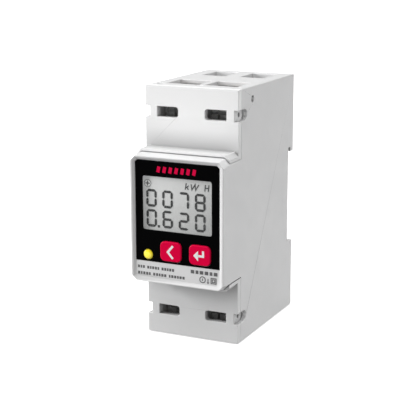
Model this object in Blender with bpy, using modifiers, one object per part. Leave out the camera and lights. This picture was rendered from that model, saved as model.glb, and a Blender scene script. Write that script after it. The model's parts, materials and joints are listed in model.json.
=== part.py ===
"""Two-module electric meter for a 35 mm DIN rail, as separate moulded, stamped and wound pieces.

Frame: X across the width, +Y from the front face back to the rail, +Z up. The origin is the middle
of the face that rests on the rail. A depth is a distance behind the front rim, turned into Y only
where a mesh is made.
"""

import math

import bmesh
import bpy
from mathutils import Matrix, Vector

MM = 0.001

# Overall
BODY_WIDTH = 36.0 * MM
BODY_HEIGHT = 91.0 * MM
FRONT_TO_RAIL = 59.5 * MM  # front rim to the face that rests on the rail
HOOK_DEPTH = 4.7 * MM  # how far the back reaches behind that face
GAP = 0.3 * MM  # clearance between pieces that touch or slide
OVERRUN = 1.0 * MM  # how far a cutter runs past the face that it opens

# Case
CASE_WALL = 1.6 * MM
SHOULDER_WALL = 1.6 * MM  # wall above and below the nose, behind the terminal covers
NOSE_FRONT_HEIGHT = 45.0 * MM
NOSE_REAR_HEIGHT = 46.0 * MM
NOSE_TAPER_DEPTH = 4.2 * MM
NOSE_CHAMFER = 2.0 * MM
NOSE_WALL = 1.5 * MM
FRONT_WALL = 3.4 * MM  # depth of the nose's inner face
RIM_WIDTH = 0.75 * MM
BEZEL_SLOPE = 1.05 * MM  # width of the slope inside the rim
BEZEL_DEPTH = 0.6 * MM
BEZEL_CHAMFER = 1.0 * MM
PANEL_END_MARGIN = 1.4 * MM
PANEL_DROP = 6.1 * MM  # plain case face left under the black overlay
LATCH_RECESS_DEPTH = 17.2 * MM  # recesses in the end walls for the covers' latches
LATCH_RECESS_LENGTH = 2.0 * MM
LATCH_RECESS_WIDTH = 2.8 * MM
LATCH_RECESS_SINK = 0.9 * MM
SIDE_HOLE_RADIUS = 1.3 * MM
SIDE_HOLE_DEPTH = 24.5 * MM
SIDE_HOLE_DROP = 4.5 * MM  # side hole's centre below the top

# Terminal covers
SHELF_DEPTH = 12.3 * MM  # covers' outer face behind the front rim
COVER_PLATE = 2.4 * MM
COLLAR_DEPTH = 5.0 * MM
COLLAR_HEIGHT = 48.4 * MM
COLLAR_CHAMFER = 1.6 * MM
TERMINAL_INSET = 9.1 * MM  # screw axis below the top edge
SLOT_WIDTH = 8.2 * MM
SLOT_HEIGHT = 3.7 * MM
SLOT_RADIUS = 1.0 * MM
SLOT_MARGIN = 4.65 * MM  # slot's outer end to the side face
SEAL_NOTCH_HEIGHT = 4.0 * MM
SEAL_NOTCH_LENGTH = 7.3 * MM
SEAL_HOLE_RADIUS = 0.85 * MM
SEAL_HOLE_FROM_END = 3.0 * MM
TONGUE_THICKNESS = 1.0 * MM
TONGUE_HEIGHT = 6.0 * MM
TONGUE_LENGTH = 6.0 * MM

# Terminals
PARTITION = 2.0 * MM
CHAMBER_WALL = 1.0 * MM
BLOCK_WALL = 1.6 * MM
BLOCK_FLOOR = 1.5 * MM
BLOCK_FROM_COLLAR = 1.1 * MM
CABLE_ENTRY_LENGTH = 11.8 * MM
SCREW_HEAD_DEPTH = 17.0 * MM
SCREW_HEAD_LENGTH = 2.2 * MM
SCREW_HEAD_RADIUS = 3.2 * MM
SCREW_RADIUS = 2.4 * MM
SCREW_RECESS = 1.2 * MM
CROSS_SLOT_LENGTH = 4.6 * MM
CROSS_SLOT_WIDTH = 1.0 * MM
SCREW_WEB = 1.0 * MM  # wall that holds the screw lengthways
CAGE_TRAVEL = 2.0 * MM
CAGE_WALL = 1.4 * MM
CAGE_HEIGHT = 8.0 * MM
CAGE_SIDE_ROOM = 2.7 * MM  # chamber wider than the cage, all but a gap of it on the partition side
CONDUCTOR_OPENING = 6.4 * MM
BUSBAR_THICKNESS = 1.5 * MM
BUSBAR_WIDTH = 5.0 * MM
TONGUE_END_WIDTH = 6.6 * MM

# Rear pockets
POCKET_FROM_CENTRE = 2.9 * MM
POCKET_WIDTH = 9.6 * MM
POCKET_LENGTH = 13.0 * MM
POCKET_HEIGHT = 12.0 * MM
POCKET_BACK_WALL = 4.2 * MM
POCKET_WALL = 1.2 * MM

# Rail side
HOOK_GROOVE_TOP = 17.9 * MM
HOOK_LIP_BOTTOM = 16.2 * MM
HOOK_GROOVE_DEPTH = 2.1 * MM
CLIP_LEDGE = -19.0 * MM
BASE_WALL = 1.8 * MM
CLIP_WIDTH = 12.0 * MM
CLIP_THICKNESS = 2.4 * MM
CLIP_FLANGE_ROOM = 1.4 * MM  # seat face to the clip's catch, room for the rail's edge
CLIP_CATCH_TOP = -16.0 * MM
CLIP_SHOULDER_TOP = -17.8 * MM
CLIP_SHOULDER_BOTTOM = -24.0 * MM
CLIP_WINDOW_WIDTH = 4.6 * MM
CLIP_WINDOW_TOP = -22.0 * MM
CLIP_WINDOW_BOTTOM = -37.0 * MM
CLIP_TOOL_SLOT = 2.0 * MM
CLIP_STOP_TOP = -33.0 * MM
CLIP_STOP_HEIGHT = 1.6 * MM
CLIP_STOP_WIDTH = 3.6 * MM
CHANNEL_LIP_WIDTH = 1.3 * MM
CHANNEL_LIP_THICKNESS = 0.6 * MM
SPRING_RADIUS = 1.4 * MM
SPRING_WIRE_RADIUS = 0.2 * MM
SPRING_TURNS = 7

# Fasteners
BASE_SCREW_FROM_SIDE = 4.2 * MM
BASE_SCREW_HEIGHT = 28.0 * MM
BASE_SCREW_RADIUS = 1.3 * MM
BASE_SCREW_HEAD_RADIUS = 2.4 * MM
BASE_SCREW_LENGTH = 12.0 * MM
BOSS_RADIUS = 2.8 * MM
BOSS_DEPTH = 39.5 * MM
BOARD_POST_X = 12.5 * MM
BOARD_POST_Z = 15.5 * MM
BOARD_POST_RADIUS = 2.4 * MM
BOARD_SCREW_RADIUS = 1.0 * MM
BOARD_SCREW_HEAD_RADIUS = 2.0 * MM
BOARD_SCREW_LENGTH = 7.0 * MM
BOARD_SCREW_HEAD_LENGTH = 1.4 * MM
SCREW_SLOT_WIDTH = 0.7 * MM

# Front stack, all placed on the front panel
OVERLAY_DEPTH = 0.55 * MM
OVERLAY_THICKNESS = 0.3 * MM
OVERLAY_CORNER = 0.9 * MM
WINDOW_SIDE_MARGIN = 2.9 * MM
WINDOW_TOP_MARGIN = 5.5 * MM
WINDOW_HEIGHT = 19.2 * MM
WINDOW_RADIUS = 0.8 * MM
LENS_DEPTH = 1.1 * MM
LENS_THICKNESS = 0.7 * MM
POCKET_DEPTH = 2.0 * MM
LCD_BORDER = 2.1 * MM
LCD_THICKNESS = 2.4 * MM
KEY_WIDTH = 8.1 * MM
KEY_HEIGHT = 7.0 * MM
KEY_RADIUS = 1.7 * MM
KEY_CENTRE_Z = -10.7 * MM
KEY_CENTRES_X = {"left_key": -2.4 * MM, "enter_key": 8.8 * MM}
KEY_FACE_DEPTH = 0.1 * MM
KEY_FLANGE = 0.5 * MM
KEY_FLANGE_THICKNESS = 0.9 * MM
KEY_STEM_RADIUS = 1.2 * MM
KEY_TRAVEL = 0.5 * MM
LIGHT_X = -11.5 * MM
LIGHT_Z = -12.6 * MM
LIGHT_RADIUS = 1.65 * MM
LIGHT_FACE_DEPTH = 0.25 * MM
LIGHT_DOME = 0.35 * MM
LIGHT_COLLAR_WIDTH = 0.6 * MM
LIGHT_COLLAR_THICKNESS = 0.8 * MM
PULSE_LED_LENGTH = 3.0 * MM
PULSE_LED_HEIGHT = 1.6 * MM
PULSE_LED_ROOM = 1.4 * MM  # end of the light pipe to the display board
SWITCH_HEIGHT = 3.0 * MM
SWITCH_WIDTH = 6.0 * MM
SWITCH_PLUNGER_RADIUS = 1.6 * MM
SWITCH_PLUNGER_LENGTH = 0.7 * MM
DISPLAY_BOARD_DEPTH = 9.6 * MM
BACKLIGHT_THICKNESS = 2.4 * MM
BACKLIGHT_MARGIN = 1.3 * MM  # display's lower edge to the backlight guide
CONTACT_STRIP_WIDTH = 1.4 * MM
CONTACT_STRIP_INSET = 2.0 * MM
HOLDER_WALL = 0.5 * MM
BOARD_THICKNESS = 1.2 * MM
MAIN_BOARD_DEPTH = 37.0 * MM
TRANSFORMER_RADIUS = 7.2 * MM
TRANSFORMER_HEIGHT = 10.0 * MM
BOARD_EDGE_ROOM = 0.5 * MM
HEADER_PINS = 4
PIN_PITCH = 2.54 * MM
PIN_WIDTH = 0.64 * MM
HEADER_Z = -15.95 * MM
HEADER_HEIGHT = 2.5 * MM
HEADER_LENGTH = 8.5 * MM
LEAD_RADIUS = 0.6 * MM
SENSE_LEAD_Z = 19.0 * MM
SENSE_LEAD_BOW = -1.5 * MM
TRANSFORMER_LEAD_BOW = 0.6 * MM

# Sizes that follow
HALF_WIDTH = BODY_WIDTH / 2
HALF_HEIGHT = BODY_HEIGHT / 2
BACK_DEPTH = FRONT_TO_RAIL + HOOK_DEPTH
SHOULDER_DEPTH = SHELF_DEPTH + COVER_PLATE + GAP
INNER_HALF_WIDTH = HALF_WIDTH - CASE_WALL
INNER_HALF_HEIGHT = HALF_HEIGHT - CASE_WALL
NOSE_INNER_HALF = NOSE_REAR_HEIGHT / 2 - NOSE_WALL
BLOCK_BOTTOM = COLLAR_HEIGHT / 2 + BLOCK_FROM_COLLAR
PANEL_HALF_WIDTH = HALF_WIDTH - RIM_WIDTH - BEZEL_SLOPE
PANEL_HALF_HEIGHT = NOSE_FRONT_HEIGHT / 2 - PANEL_END_MARGIN
PANEL_LOW = -PANEL_HALF_HEIGHT + PANEL_DROP
WINDOW_HALF_WIDTH = PANEL_HALF_WIDTH - WINDOW_SIDE_MARGIN
WINDOW_TOP = PANEL_HALF_HEIGHT - WINDOW_TOP_MARGIN
WINDOW_LOW = WINDOW_TOP - WINDOW_HEIGHT
LCD_HALF_WIDTH = WINDOW_HALF_WIDTH + LCD_BORDER
LCD_TOP = WINDOW_TOP + 1.6 * LCD_BORDER
LCD_LOW = WINDOW_LOW - LCD_BORDER
LCD_BACK = POCKET_DEPTH + LCD_THICKNESS
TERMINAL_Z = HALF_HEIGHT - TERMINAL_INSET
CHAMBER_SIDE = INNER_HALF_WIDTH - 2 * GAP - TONGUE_THICKNESS - CHAMBER_WALL
CHAMBER_WIDTH = CHAMBER_SIDE - PARTITION / 2
CAGE_HALF_WIDTH = (CHAMBER_WIDTH - CAGE_SIDE_ROOM) / 2
TERMINAL_X = CHAMBER_SIDE - GAP - CAGE_HALF_WIDTH
BLOCK_DEPTH = SHOULDER_DEPTH + 2 * GAP
WEB_DEPTH = SCREW_HEAD_DEPTH + SCREW_HEAD_LENGTH + GAP
CAGE_DEPTH = WEB_DEPTH + SCREW_WEB + GAP + CAGE_TRAVEL
BUSBAR_DEPTH = CAGE_DEPTH + CAGE_WALL + GAP
CAGE_BACK = BUSBAR_DEPTH + BUSBAR_THICKNESS + CONDUCTOR_OPENING + CAGE_WALL
CHAMBER_BACK = CAGE_BACK + GAP
CABLE_ENTRY_DEPTH = WEB_DEPTH + SCREW_WEB
BLOCK_TOP = INNER_HALF_HEIGHT - GAP
BOARD_FRONT = MAIN_BOARD_DEPTH + BOARD_THICKNESS
SEAT_INNER_DEPTH = FRONT_TO_RAIL - BASE_WALL
BASE_INNER_DEPTH = BACK_DEPTH - BASE_WALL
BASE_HALF_WIDTH = INNER_HALF_WIDTH - GAP
BASE_HALF_HEIGHT = INNER_HALF_HEIGHT - GAP
BASE_SCREW_X = HALF_WIDTH - BASE_SCREW_FROM_SIDE
CHANNEL_HALF = CLIP_WIDTH / 2 + GAP
CLIP_DEPTH = FRONT_TO_RAIL + CLIP_FLANGE_ROOM
SPRING_DEPTH = CLIP_DEPTH + CLIP_THICKNESS / 2
SWITCH_TOP = DISPLAY_BOARD_DEPTH - SWITCH_HEIGHT

AXES = {"x": Vector((1, 0, 0)), "y": Vector((0, 1, 0)), "z": Vector((0, 0, 1))}


# Scene, materials and mesh helpers
def clear_scene():
    for old in list(bpy.data.objects):
        bpy.data.objects.remove(old)


def new_collection(name):
    collection = bpy.data.collections.new(name)
    bpy.context.scene.collection.children.link(collection)
    return collection


def new_material(name, colour, roughness, metallic=0.0, alpha=1.0):
    material = bpy.data.materials.new(name)
    material.use_nodes = True
    shader = material.node_tree.nodes["Principled BSDF"]
    shader.inputs["Base Color"].default_value = (*colour, 1.0)
    shader.inputs["Roughness"].default_value = roughness
    shader.inputs["Metallic"].default_value = metallic
    shader.inputs["Alpha"].default_value = alpha
    return material


def mesh_from(bm):
    mesh = bpy.data.meshes.new("mesh")
    bm.to_mesh(mesh)
    bm.free()
    return mesh


def add_box(bm, x, depth, z):
    """Box between (low, high) limits; depth is measured from the front rim."""
    low = Vector((x[0], depth[0] - FRONT_TO_RAIL, z[0]))
    high = Vector((x[1], depth[1] - FRONT_TO_RAIL, z[1]))
    place = Matrix.Translation((low + high) / 2) @ Matrix.Diagonal((*(high - low), 1.0))
    bmesh.ops.create_cube(bm, size=1.0, matrix=place)


def add_cylinder(bm, start, axis, length, radius, end_radius=None, sides=32):
    """Cylinder or cone from start, given as (x, depth, z), along one axis."""
    turn = AXES["z"].rotation_difference(AXES[axis]).to_matrix().to_4x4()
    middle = Vector((start[0], start[1] - FRONT_TO_RAIL, start[2])) + AXES[axis] * length / 2
    bmesh.ops.create_cone(
        bm,
        cap_ends=True,
        segments=sides,
        radius1=radius,
        radius2=radius if end_radius is None else end_radius,
        depth=length,
        matrix=Matrix.Translation(middle) @ turn,
    )


def boxes(*limits):
    """Mesh of separate boxes, each given as (x limits, depth limits, z limits)."""
    bm = bmesh.new()
    for x, depth, z in limits:
        add_box(bm, x, depth, z)
    return mesh_from(bm)


def cylinder(start, axis, length, radius, end_radius=None, sides=32):
    bm = bmesh.new()
    add_cylinder(bm, start, axis, length, radius, end_radius, sides)
    return mesh_from(bm)


def prism(outlines, axis, start, end):
    """Solid with the given flat outlines, run along an axis from start to end.

    Outlines are (depth, z) along x, (x, z) along y and (x, depth) along z. An outline inside
    another is a hole.
    """
    curve = bpy.data.curves.new("outline", "CURVE")
    curve.dimensions = "2D"
    curve.fill_mode = "BOTH"
    curve.extrude = (end - start) / 2
    for outline in outlines:
        spline = curve.splines.new("POLY")
        spline.points.add(len(outline) - 1)
        for point, (u, v) in zip(spline.points, outline):
            point.co = (u, v, 0.0, 1.0)
        spline.use_cyclic_u = True
    middle = (start + end) / 2
    if axis == "x":
        turn = Matrix((AXES["y"], AXES["z"], AXES["x"])).transposed()
        offset = Vector((middle, -FRONT_TO_RAIL, 0))
    elif axis == "y":
        turn = Matrix((AXES["x"], AXES["z"], -AXES["y"])).transposed()
        offset = Vector((0, middle - FRONT_TO_RAIL, 0))
    else:
        turn = Matrix.Identity(3)
        offset = Vector((0, -FRONT_TO_RAIL, middle))
    guide = bpy.data.objects.new("outline", curve)
    cutters.objects.link(guide)
    bpy.context.view_layer.update()
    shown = guide.evaluated_get(bpy.context.evaluated_depsgraph_get())
    mesh = bpy.data.meshes.new_from_object(shown)
    bpy.data.objects.remove(guide)
    bm = bmesh.new()
    bm.from_mesh(mesh)
    bmesh.ops.remove_doubles(bm, verts=bm.verts, dist=0.001 * MM)
    bmesh.ops.recalc_face_normals(bm, faces=bm.faces)
    bm.transform(Matrix.Translation(offset) @ turn.to_4x4())
    bm.to_mesh(mesh)
    bm.free()
    return mesh


def scale_front(mesh, depth, scale_x, scale_z):
    """Scales the end of a prism that lies at this depth, which tapers the prism."""
    for vertex in mesh.vertices:
        if abs(vertex.co.y - (depth - FRONT_TO_RAIL)) < 0.01 * MM:
            vertex.co.x *= scale_x
            vertex.co.z *= scale_z
    return mesh


def rectangle(x, z, radius=0.0, square_corners=(), steps=5):
    """Outline of an upright rectangle; corners are numbered from low left, anticlockwise."""
    corners = [(x[0], z[0]), (x[1], z[0]), (x[1], z[1]), (x[0], z[1])]
    points = []
    for number, (corner_x, corner_z) in enumerate(corners):
        if radius == 0.0 or number in square_corners:
            points.append((corner_x, corner_z))
            continue
        centre_x = corner_x + (radius if corner_x == x[0] else -radius)
        centre_z = corner_z + (radius if corner_z == z[0] else -radius)
        for step in range(steps + 1):
            angle = math.pi * (1 + number / 2 + step / steps / 2)
            points.append((centre_x + radius * math.cos(angle), centre_z + radius * math.sin(angle)))
    return points


def cut_corner_rectangle(half_width, low, high, low_cut, high_cut):
    """Outline of an upright rectangle whose low and high corners are cut off at 45 degrees."""
    points = [(-half_width, low + low_cut), (half_width, low + low_cut)]
    if low_cut:
        points = [points[0], (low_cut - half_width, low), (half_width - low_cut, low), points[1]]
    points += [(half_width, high - high_cut)]
    points += [(half_width - high_cut, high), (high_cut - half_width, high)]
    return points + [(-half_width, high - high_cut)]


def circle(centre_x, centre_z, radius, sides=32):
    turns = [2 * math.pi * side / sides for side in range(sides)]
    return [(centre_x + radius * math.cos(t), centre_z + radius * math.sin(t)) for t in turns]


def piece(name, mesh, material, origin=(0.0, FRONT_TO_RAIL, 0.0)):
    """Named object; origin is (x, depth, z)."""
    place = Vector((origin[0], origin[1] - FRONT_TO_RAIL, origin[2]))
    mesh = mesh.copy()
    mesh.name = name
    mesh.transform(Matrix.Translation(-place))
    mesh.materials.append(material)
    made = bpy.data.objects.new(name, mesh)
    made.location = place
    meter.objects.link(made)
    return made


def boolean(target, mesh, operation):
    tool = bpy.data.objects.new(f"{target.name}_{operation.lower()}", mesh)
    tool.hide_render = True
    tool.display_type = "WIRE"
    cutters.objects.link(tool)
    modifier = target.modifiers.new(operation.title(), "BOOLEAN")
    modifier.operation = operation
    modifier.object = tool


def cut(target, mesh):
    boolean(target, mesh, "DIFFERENCE")


def join(target, mesh):
    boolean(target, mesh, "UNION")


def smooth(made):
    made.data.shade_smooth()
    made.data.set_sharp_from_angle(angle=math.radians(40))


def mirrored(limits, sign):
    """Limits as they are for sign 1, or turned over for sign -1."""
    return limits if sign > 0 else (-limits[1], -limits[0])


# Moulded outer pieces
def seal_notch(sign):
    """Slot with a round end that runs back from the cover's face, through both side walls."""
    radius = SEAL_NOTCH_HEIGHT / 2
    end = SHELF_DEPTH + SEAL_NOTCH_LENGTH - radius
    centre = sign * TERMINAL_Z
    outline = [(SHELF_DEPTH - radius, centre - radius), (end, centre - radius)]
    for step in range(1, 12):
        angle = math.pi * (step / 12 - 0.5)
        outline.append((end + radius * math.cos(angle), centre + radius * math.sin(angle)))
    outline += [(end, centre + radius), (SHELF_DEPTH - radius, centre + radius)]
    return prism([outline], "x", -HALF_WIDTH - OVERRUN, HALF_WIDTH + OVERRUN)


def body_outline():
    """(depth, z) outline of the case behind the nose, with the rail recess at the back."""
    lip = FRONT_TO_RAIL + HOOK_GROOVE_DEPTH
    return [
        (SHOULDER_DEPTH, HALF_HEIGHT),
        (SHOULDER_DEPTH, -HALF_HEIGHT),
        (BACK_DEPTH, -HALF_HEIGHT),
        (BACK_DEPTH, CLIP_LEDGE),
        (FRONT_TO_RAIL, CLIP_LEDGE),
        (FRONT_TO_RAIL, HOOK_GROOVE_TOP),
        (lip, HOOK_GROOVE_TOP),
        (lip, HOOK_LIP_BOTTOM),
        (BACK_DEPTH, HOOK_LIP_BOTTOM),
        (BACK_DEPTH, HALF_HEIGHT),
    ]


def nose_outline(clearance=0.0):
    """Section of the nose; with a clearance it is the collars' inner outline, run out past the sides."""
    half_height = NOSE_REAR_HEIGHT / 2 + clearance
    past_side = OVERRUN if clearance else 0.0
    cut_off = NOSE_CHAMFER + past_side + clearance * (1 - math.sqrt(2))
    return cut_corner_rectangle(HALF_WIDTH + past_side, -half_height, half_height, cut_off, cut_off)


def case_interior():
    """(depth, z) outline of the hollow: the nose, the open terminal fronts and the main bay."""
    upper = [
        (FRONT_WALL, NOSE_INNER_HALF),
        (SHOULDER_DEPTH + SHOULDER_WALL, NOSE_INNER_HALF),
        (SHOULDER_DEPTH + SHOULDER_WALL, BLOCK_BOTTOM - GAP),
        (SHELF_DEPTH, BLOCK_BOTTOM - GAP),
        (SHELF_DEPTH, INNER_HALF_HEIGHT),
        (BACK_DEPTH + OVERRUN, INNER_HALF_HEIGHT),
    ]
    lower = [(depth, -z) for depth, z in reversed(upper)]
    return prism([upper + lower], "x", -INNER_HALF_WIDTH, INNER_HALF_WIDTH)


def key_outline(name, clearance):
    x = KEY_CENTRES_X[name]
    half_width = KEY_WIDTH / 2 + clearance
    half_height = KEY_HEIGHT / 2 + clearance
    return rectangle(
        (x - half_width, x + half_width),
        (KEY_CENTRE_Z - half_height, KEY_CENTRE_Z + half_height),
        KEY_RADIUS + clearance,
    )


def front_holes(clearance):
    """Outlines of the two key holes and the light hole, shared by overlay, lens and case."""
    holes = [key_outline(name, clearance) for name in KEY_CENTRES_X]
    return holes + [circle(LIGHT_X, LIGHT_Z, LIGHT_RADIUS + clearance)]


def make_front_case():
    case = piece("front_case", prism([body_outline()], "x", -HALF_WIDTH, HALF_WIDTH), CASE_GREY)
    join(case, prism([nose_outline()], "y", NOSE_TAPER_DEPTH, SHOULDER_DEPTH + SHOULDER_WALL / 2))
    nose_front = prism([nose_outline()], "y", 0.0, NOSE_TAPER_DEPTH)
    join(case, scale_front(nose_front, 0.0, 1.0, NOSE_FRONT_HEIGHT / NOSE_REAR_HEIGHT))
    cut(case, case_interior())

    # Bezel: a shallow tray with sloping sides, then the deeper pocket for overlay and lens
    tray_outline = cut_corner_rectangle(
        PANEL_HALF_WIDTH, -PANEL_HALF_HEIGHT, PANEL_HALF_HEIGHT, BEZEL_CHAMFER, BEZEL_CHAMFER
    )
    tray = prism([tray_outline], "y", -BEZEL_DEPTH, BEZEL_DEPTH)
    grow = 2 * BEZEL_SLOPE
    cut(case, scale_front(tray, -BEZEL_DEPTH, 1 + grow / PANEL_HALF_WIDTH, 1 + grow / PANEL_HALF_HEIGHT))
    pocket_low = PANEL_LOW - GAP / 2
    pocket_outline = cut_corner_rectangle(
        PANEL_HALF_WIDTH + GAP / 3, pocket_low, PANEL_HALF_HEIGHT + GAP / 3, 0.0, OVERLAY_CORNER
    )
    cut(case, prism([pocket_outline], "y", -BEZEL_DEPTH, POCKET_DEPTH))
    lcd_hole = rectangle((-LCD_HALF_WIDTH - GAP, LCD_HALF_WIDTH + GAP), (LCD_LOW - GAP, LCD_TOP + GAP))
    cut(case, prism([lcd_hole, *front_holes(GAP)], "y", 0.0, FRONT_WALL + GAP))

    # Cable entries and rear pockets, above and below
    shells = []
    holes = []
    for side in (-1, 1):
        entry_x = mirrored((PARTITION / 2, CHAMBER_SIDE), side)
        pocket_end = POCKET_FROM_CENTRE + POCKET_WIDTH
        shell_x = mirrored((POCKET_FROM_CENTRE - POCKET_WALL, pocket_end + POCKET_WALL), side)
        pocket_x = mirrored((POCKET_FROM_CENTRE, pocket_end), side)
        front = BACK_DEPTH - POCKET_BACK_WALL - POCKET_LENGTH
        for end in (-1, 1):
            # The lower pockets stop short of the clip's channel
            back = front + POCKET_LENGTH if end > 0 else SEAT_INNER_DEPTH - 2 * GAP - POCKET_WALL
            through = mirrored((INNER_HALF_HEIGHT - OVERRUN, HALF_HEIGHT + OVERRUN), end)
            deep = mirrored((HALF_HEIGHT - POCKET_HEIGHT, HALF_HEIGHT + OVERRUN), end)
            shell_low = HALF_HEIGHT - POCKET_HEIGHT - POCKET_WALL
            shell_z = mirrored((shell_low, HALF_HEIGHT - CASE_WALL / 2), end)
            shells.append((shell_x, (front - POCKET_WALL, back + POCKET_WALL), shell_z))
            holes.append((entry_x, (CABLE_ENTRY_DEPTH, CABLE_ENTRY_DEPTH + CABLE_ENTRY_LENGTH), through))
            holes.append((pocket_x, (front, back), deep))
    recess_depth = (LATCH_RECESS_DEPTH, LATCH_RECESS_DEPTH + LATCH_RECESS_LENGTH)
    outer_recess = INNER_HALF_WIDTH - LATCH_RECESS_WIDTH / 2
    for x in (-outer_recess, 0.0, outer_recess):
        recess_x = (x - LATCH_RECESS_WIDTH / 2, x + LATCH_RECESS_WIDTH / 2)
        for end in (-1, 1):
            recess_z = mirrored((HALF_HEIGHT - LATCH_RECESS_SINK, HALF_HEIGHT + OVERRUN), end)
            holes.append((recess_x, recess_depth, recess_z))
    join(case, boxes(*shells))
    clip_x = (-CHANNEL_HALF, CHANNEL_HALF)
    clip_z = (-HALF_HEIGHT - OVERRUN, OVERRUN - INNER_HALF_HEIGHT)
    cut(case, boxes((clip_x, (FRONT_TO_RAIL, BACK_DEPTH + OVERRUN), clip_z)))

    # Screw bosses on the side walls
    bosses = bmesh.new()
    pilots = bmesh.new()
    boss_back = BASE_INNER_DEPTH - GAP
    for side in (-1, 1):
        for end in (-1, 1):
            start = (side * BASE_SCREW_X, BOSS_DEPTH, end * BASE_SCREW_HEIGHT)
            add_cylinder(bosses, start, "y", boss_back - BOSS_DEPTH, BOSS_RADIUS, sides=20)
            hole_length = BASE_SCREW_LENGTH + OVERRUN
            start = (start[0], boss_back - hole_length, start[2])
            add_cylinder(pilots, start, "y", hole_length + OVERRUN, BASE_SCREW_RADIUS + GAP, sides=16)
    join(case, mesh_from(bosses))
    cut(case, mesh_from(pilots))
    cut(case, boxes(*holes))
    cut(case, seal_notch(1))
    cut(case, seal_notch(-1))
    side_hole = (-HALF_WIDTH - OVERRUN, SIDE_HOLE_DEPTH, HALF_HEIGHT - SIDE_HOLE_DROP)
    cut(case, cylinder(side_hole, "x", BODY_WIDTH + 2 * OVERRUN, SIDE_HOLE_RADIUS, sides=20))


def make_rear_base():
    """Inset back with the rail seat, the upper hook, the clip channel and the board posts."""
    lip = FRONT_TO_RAIL + HOOK_GROOVE_DEPTH
    outline = [
        (BACK_DEPTH, BASE_HALF_HEIGHT),
        (BACK_DEPTH, HOOK_LIP_BOTTOM),
        (lip, HOOK_LIP_BOTTOM),
        (lip, HOOK_GROOVE_TOP),
        (FRONT_TO_RAIL, HOOK_GROOVE_TOP),
        (FRONT_TO_RAIL, CLIP_LEDGE),
        (BACK_DEPTH, CLIP_LEDGE),
        (BACK_DEPTH, -BASE_HALF_HEIGHT),
        (BASE_INNER_DEPTH, -BASE_HALF_HEIGHT),
        (BASE_INNER_DEPTH, CLIP_LEDGE - BASE_WALL),
        (SEAT_INNER_DEPTH, CLIP_LEDGE - BASE_WALL),
        (SEAT_INNER_DEPTH, HOOK_GROOVE_TOP + BASE_WALL),
        (BASE_INNER_DEPTH, HOOK_GROOVE_TOP + BASE_WALL),
        (BASE_INNER_DEPTH, BASE_HALF_HEIGHT),
    ]
    base = piece("rear_base", prism([outline], "x", -BASE_HALF_WIDTH, BASE_HALF_WIDTH), CASE_GREY)
    wall_half = CHANNEL_HALF + BASE_WALL
    low = -BASE_HALF_HEIGHT
    join(base, boxes(((-wall_half, wall_half), (SEAT_INNER_DEPTH, BACK_DEPTH), (low, CLIP_LEDGE))))
    # The clip's channel: open at the back between two lips that keep the clip in
    mouth = CHANNEL_HALF - CHANNEL_LIP_WIDTH
    lip_front = BACK_DEPTH - CHANNEL_LIP_THICKNESS
    half_channel = [
        (CHANNEL_HALF, FRONT_TO_RAIL),
        (CHANNEL_HALF, lip_front),
        (mouth, lip_front),
        (mouth, BACK_DEPTH + OVERRUN),
    ]
    channel = half_channel + [(-x, depth) for x, depth in reversed(half_channel)]
    cut(base, prism([channel], "z", -HALF_HEIGHT, CLIP_LEDGE + OVERRUN))
    # Shallow relief in the seat, under the clip's catch
    relief_z = (CLIP_LEDGE - OVERRUN, CLIP_CATCH_TOP + 2 * GAP)
    cut(base, boxes(((-CHANNEL_HALF, CHANNEL_HALF), (FRONT_TO_RAIL - GAP, BACK_DEPTH), relief_z)))

    stop_x = (-CLIP_STOP_WIDTH / 2, CLIP_STOP_WIDTH / 2)
    stop_depth = (FRONT_TO_RAIL - BASE_WALL / 2, CLIP_DEPTH + CLIP_THICKNESS - GAP)
    join(base, boxes((stop_x, stop_depth, (CLIP_STOP_TOP - CLIP_STOP_HEIGHT, CLIP_STOP_TOP))))

    posts = bmesh.new()
    holes = bmesh.new()
    post_start = BOARD_FRONT + GAP
    post_length = SEAT_INNER_DEPTH + BASE_WALL / 2 - post_start
    for side in (-1, 1):
        for end in (-1, 1):
            start = (side * BOARD_POST_X, post_start, end * BOARD_POST_Z)
            add_cylinder(posts, start, "y", post_length, BOARD_POST_RADIUS, sides=20)
            start = (start[0], post_start - OVERRUN, start[2])
            add_cylinder(holes, start, "y", BOARD_SCREW_LENGTH + OVERRUN, BOARD_SCREW_RADIUS + GAP, sides=16)
            start = (side * BASE_SCREW_X, BASE_INNER_DEPTH - OVERRUN, end * BASE_SCREW_HEIGHT)
            add_cylinder(holes, start, "y", BASE_WALL + 2 * OVERRUN, BASE_SCREW_RADIUS + GAP, sides=24)
    join(base, mesh_from(posts))
    cut(base, mesh_from(holes))
    sinks = bmesh.new()
    for side in (-1, 1):
        for end in (-1, 1):
            # 45 degree cone that starts inside the screw hole and ends past the back
            narrow = BASE_SCREW_RADIUS - GAP
            deep = BASE_SCREW_HEAD_RADIUS + GAP - narrow
            start = (side * BASE_SCREW_X, BACK_DEPTH - deep, end * BASE_SCREW_HEIGHT)
            length = deep + OVERRUN
            add_cylinder(sinks, start, "y", length, narrow, narrow + length, 24)
    cut(base, mesh_from(sinks))


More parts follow.
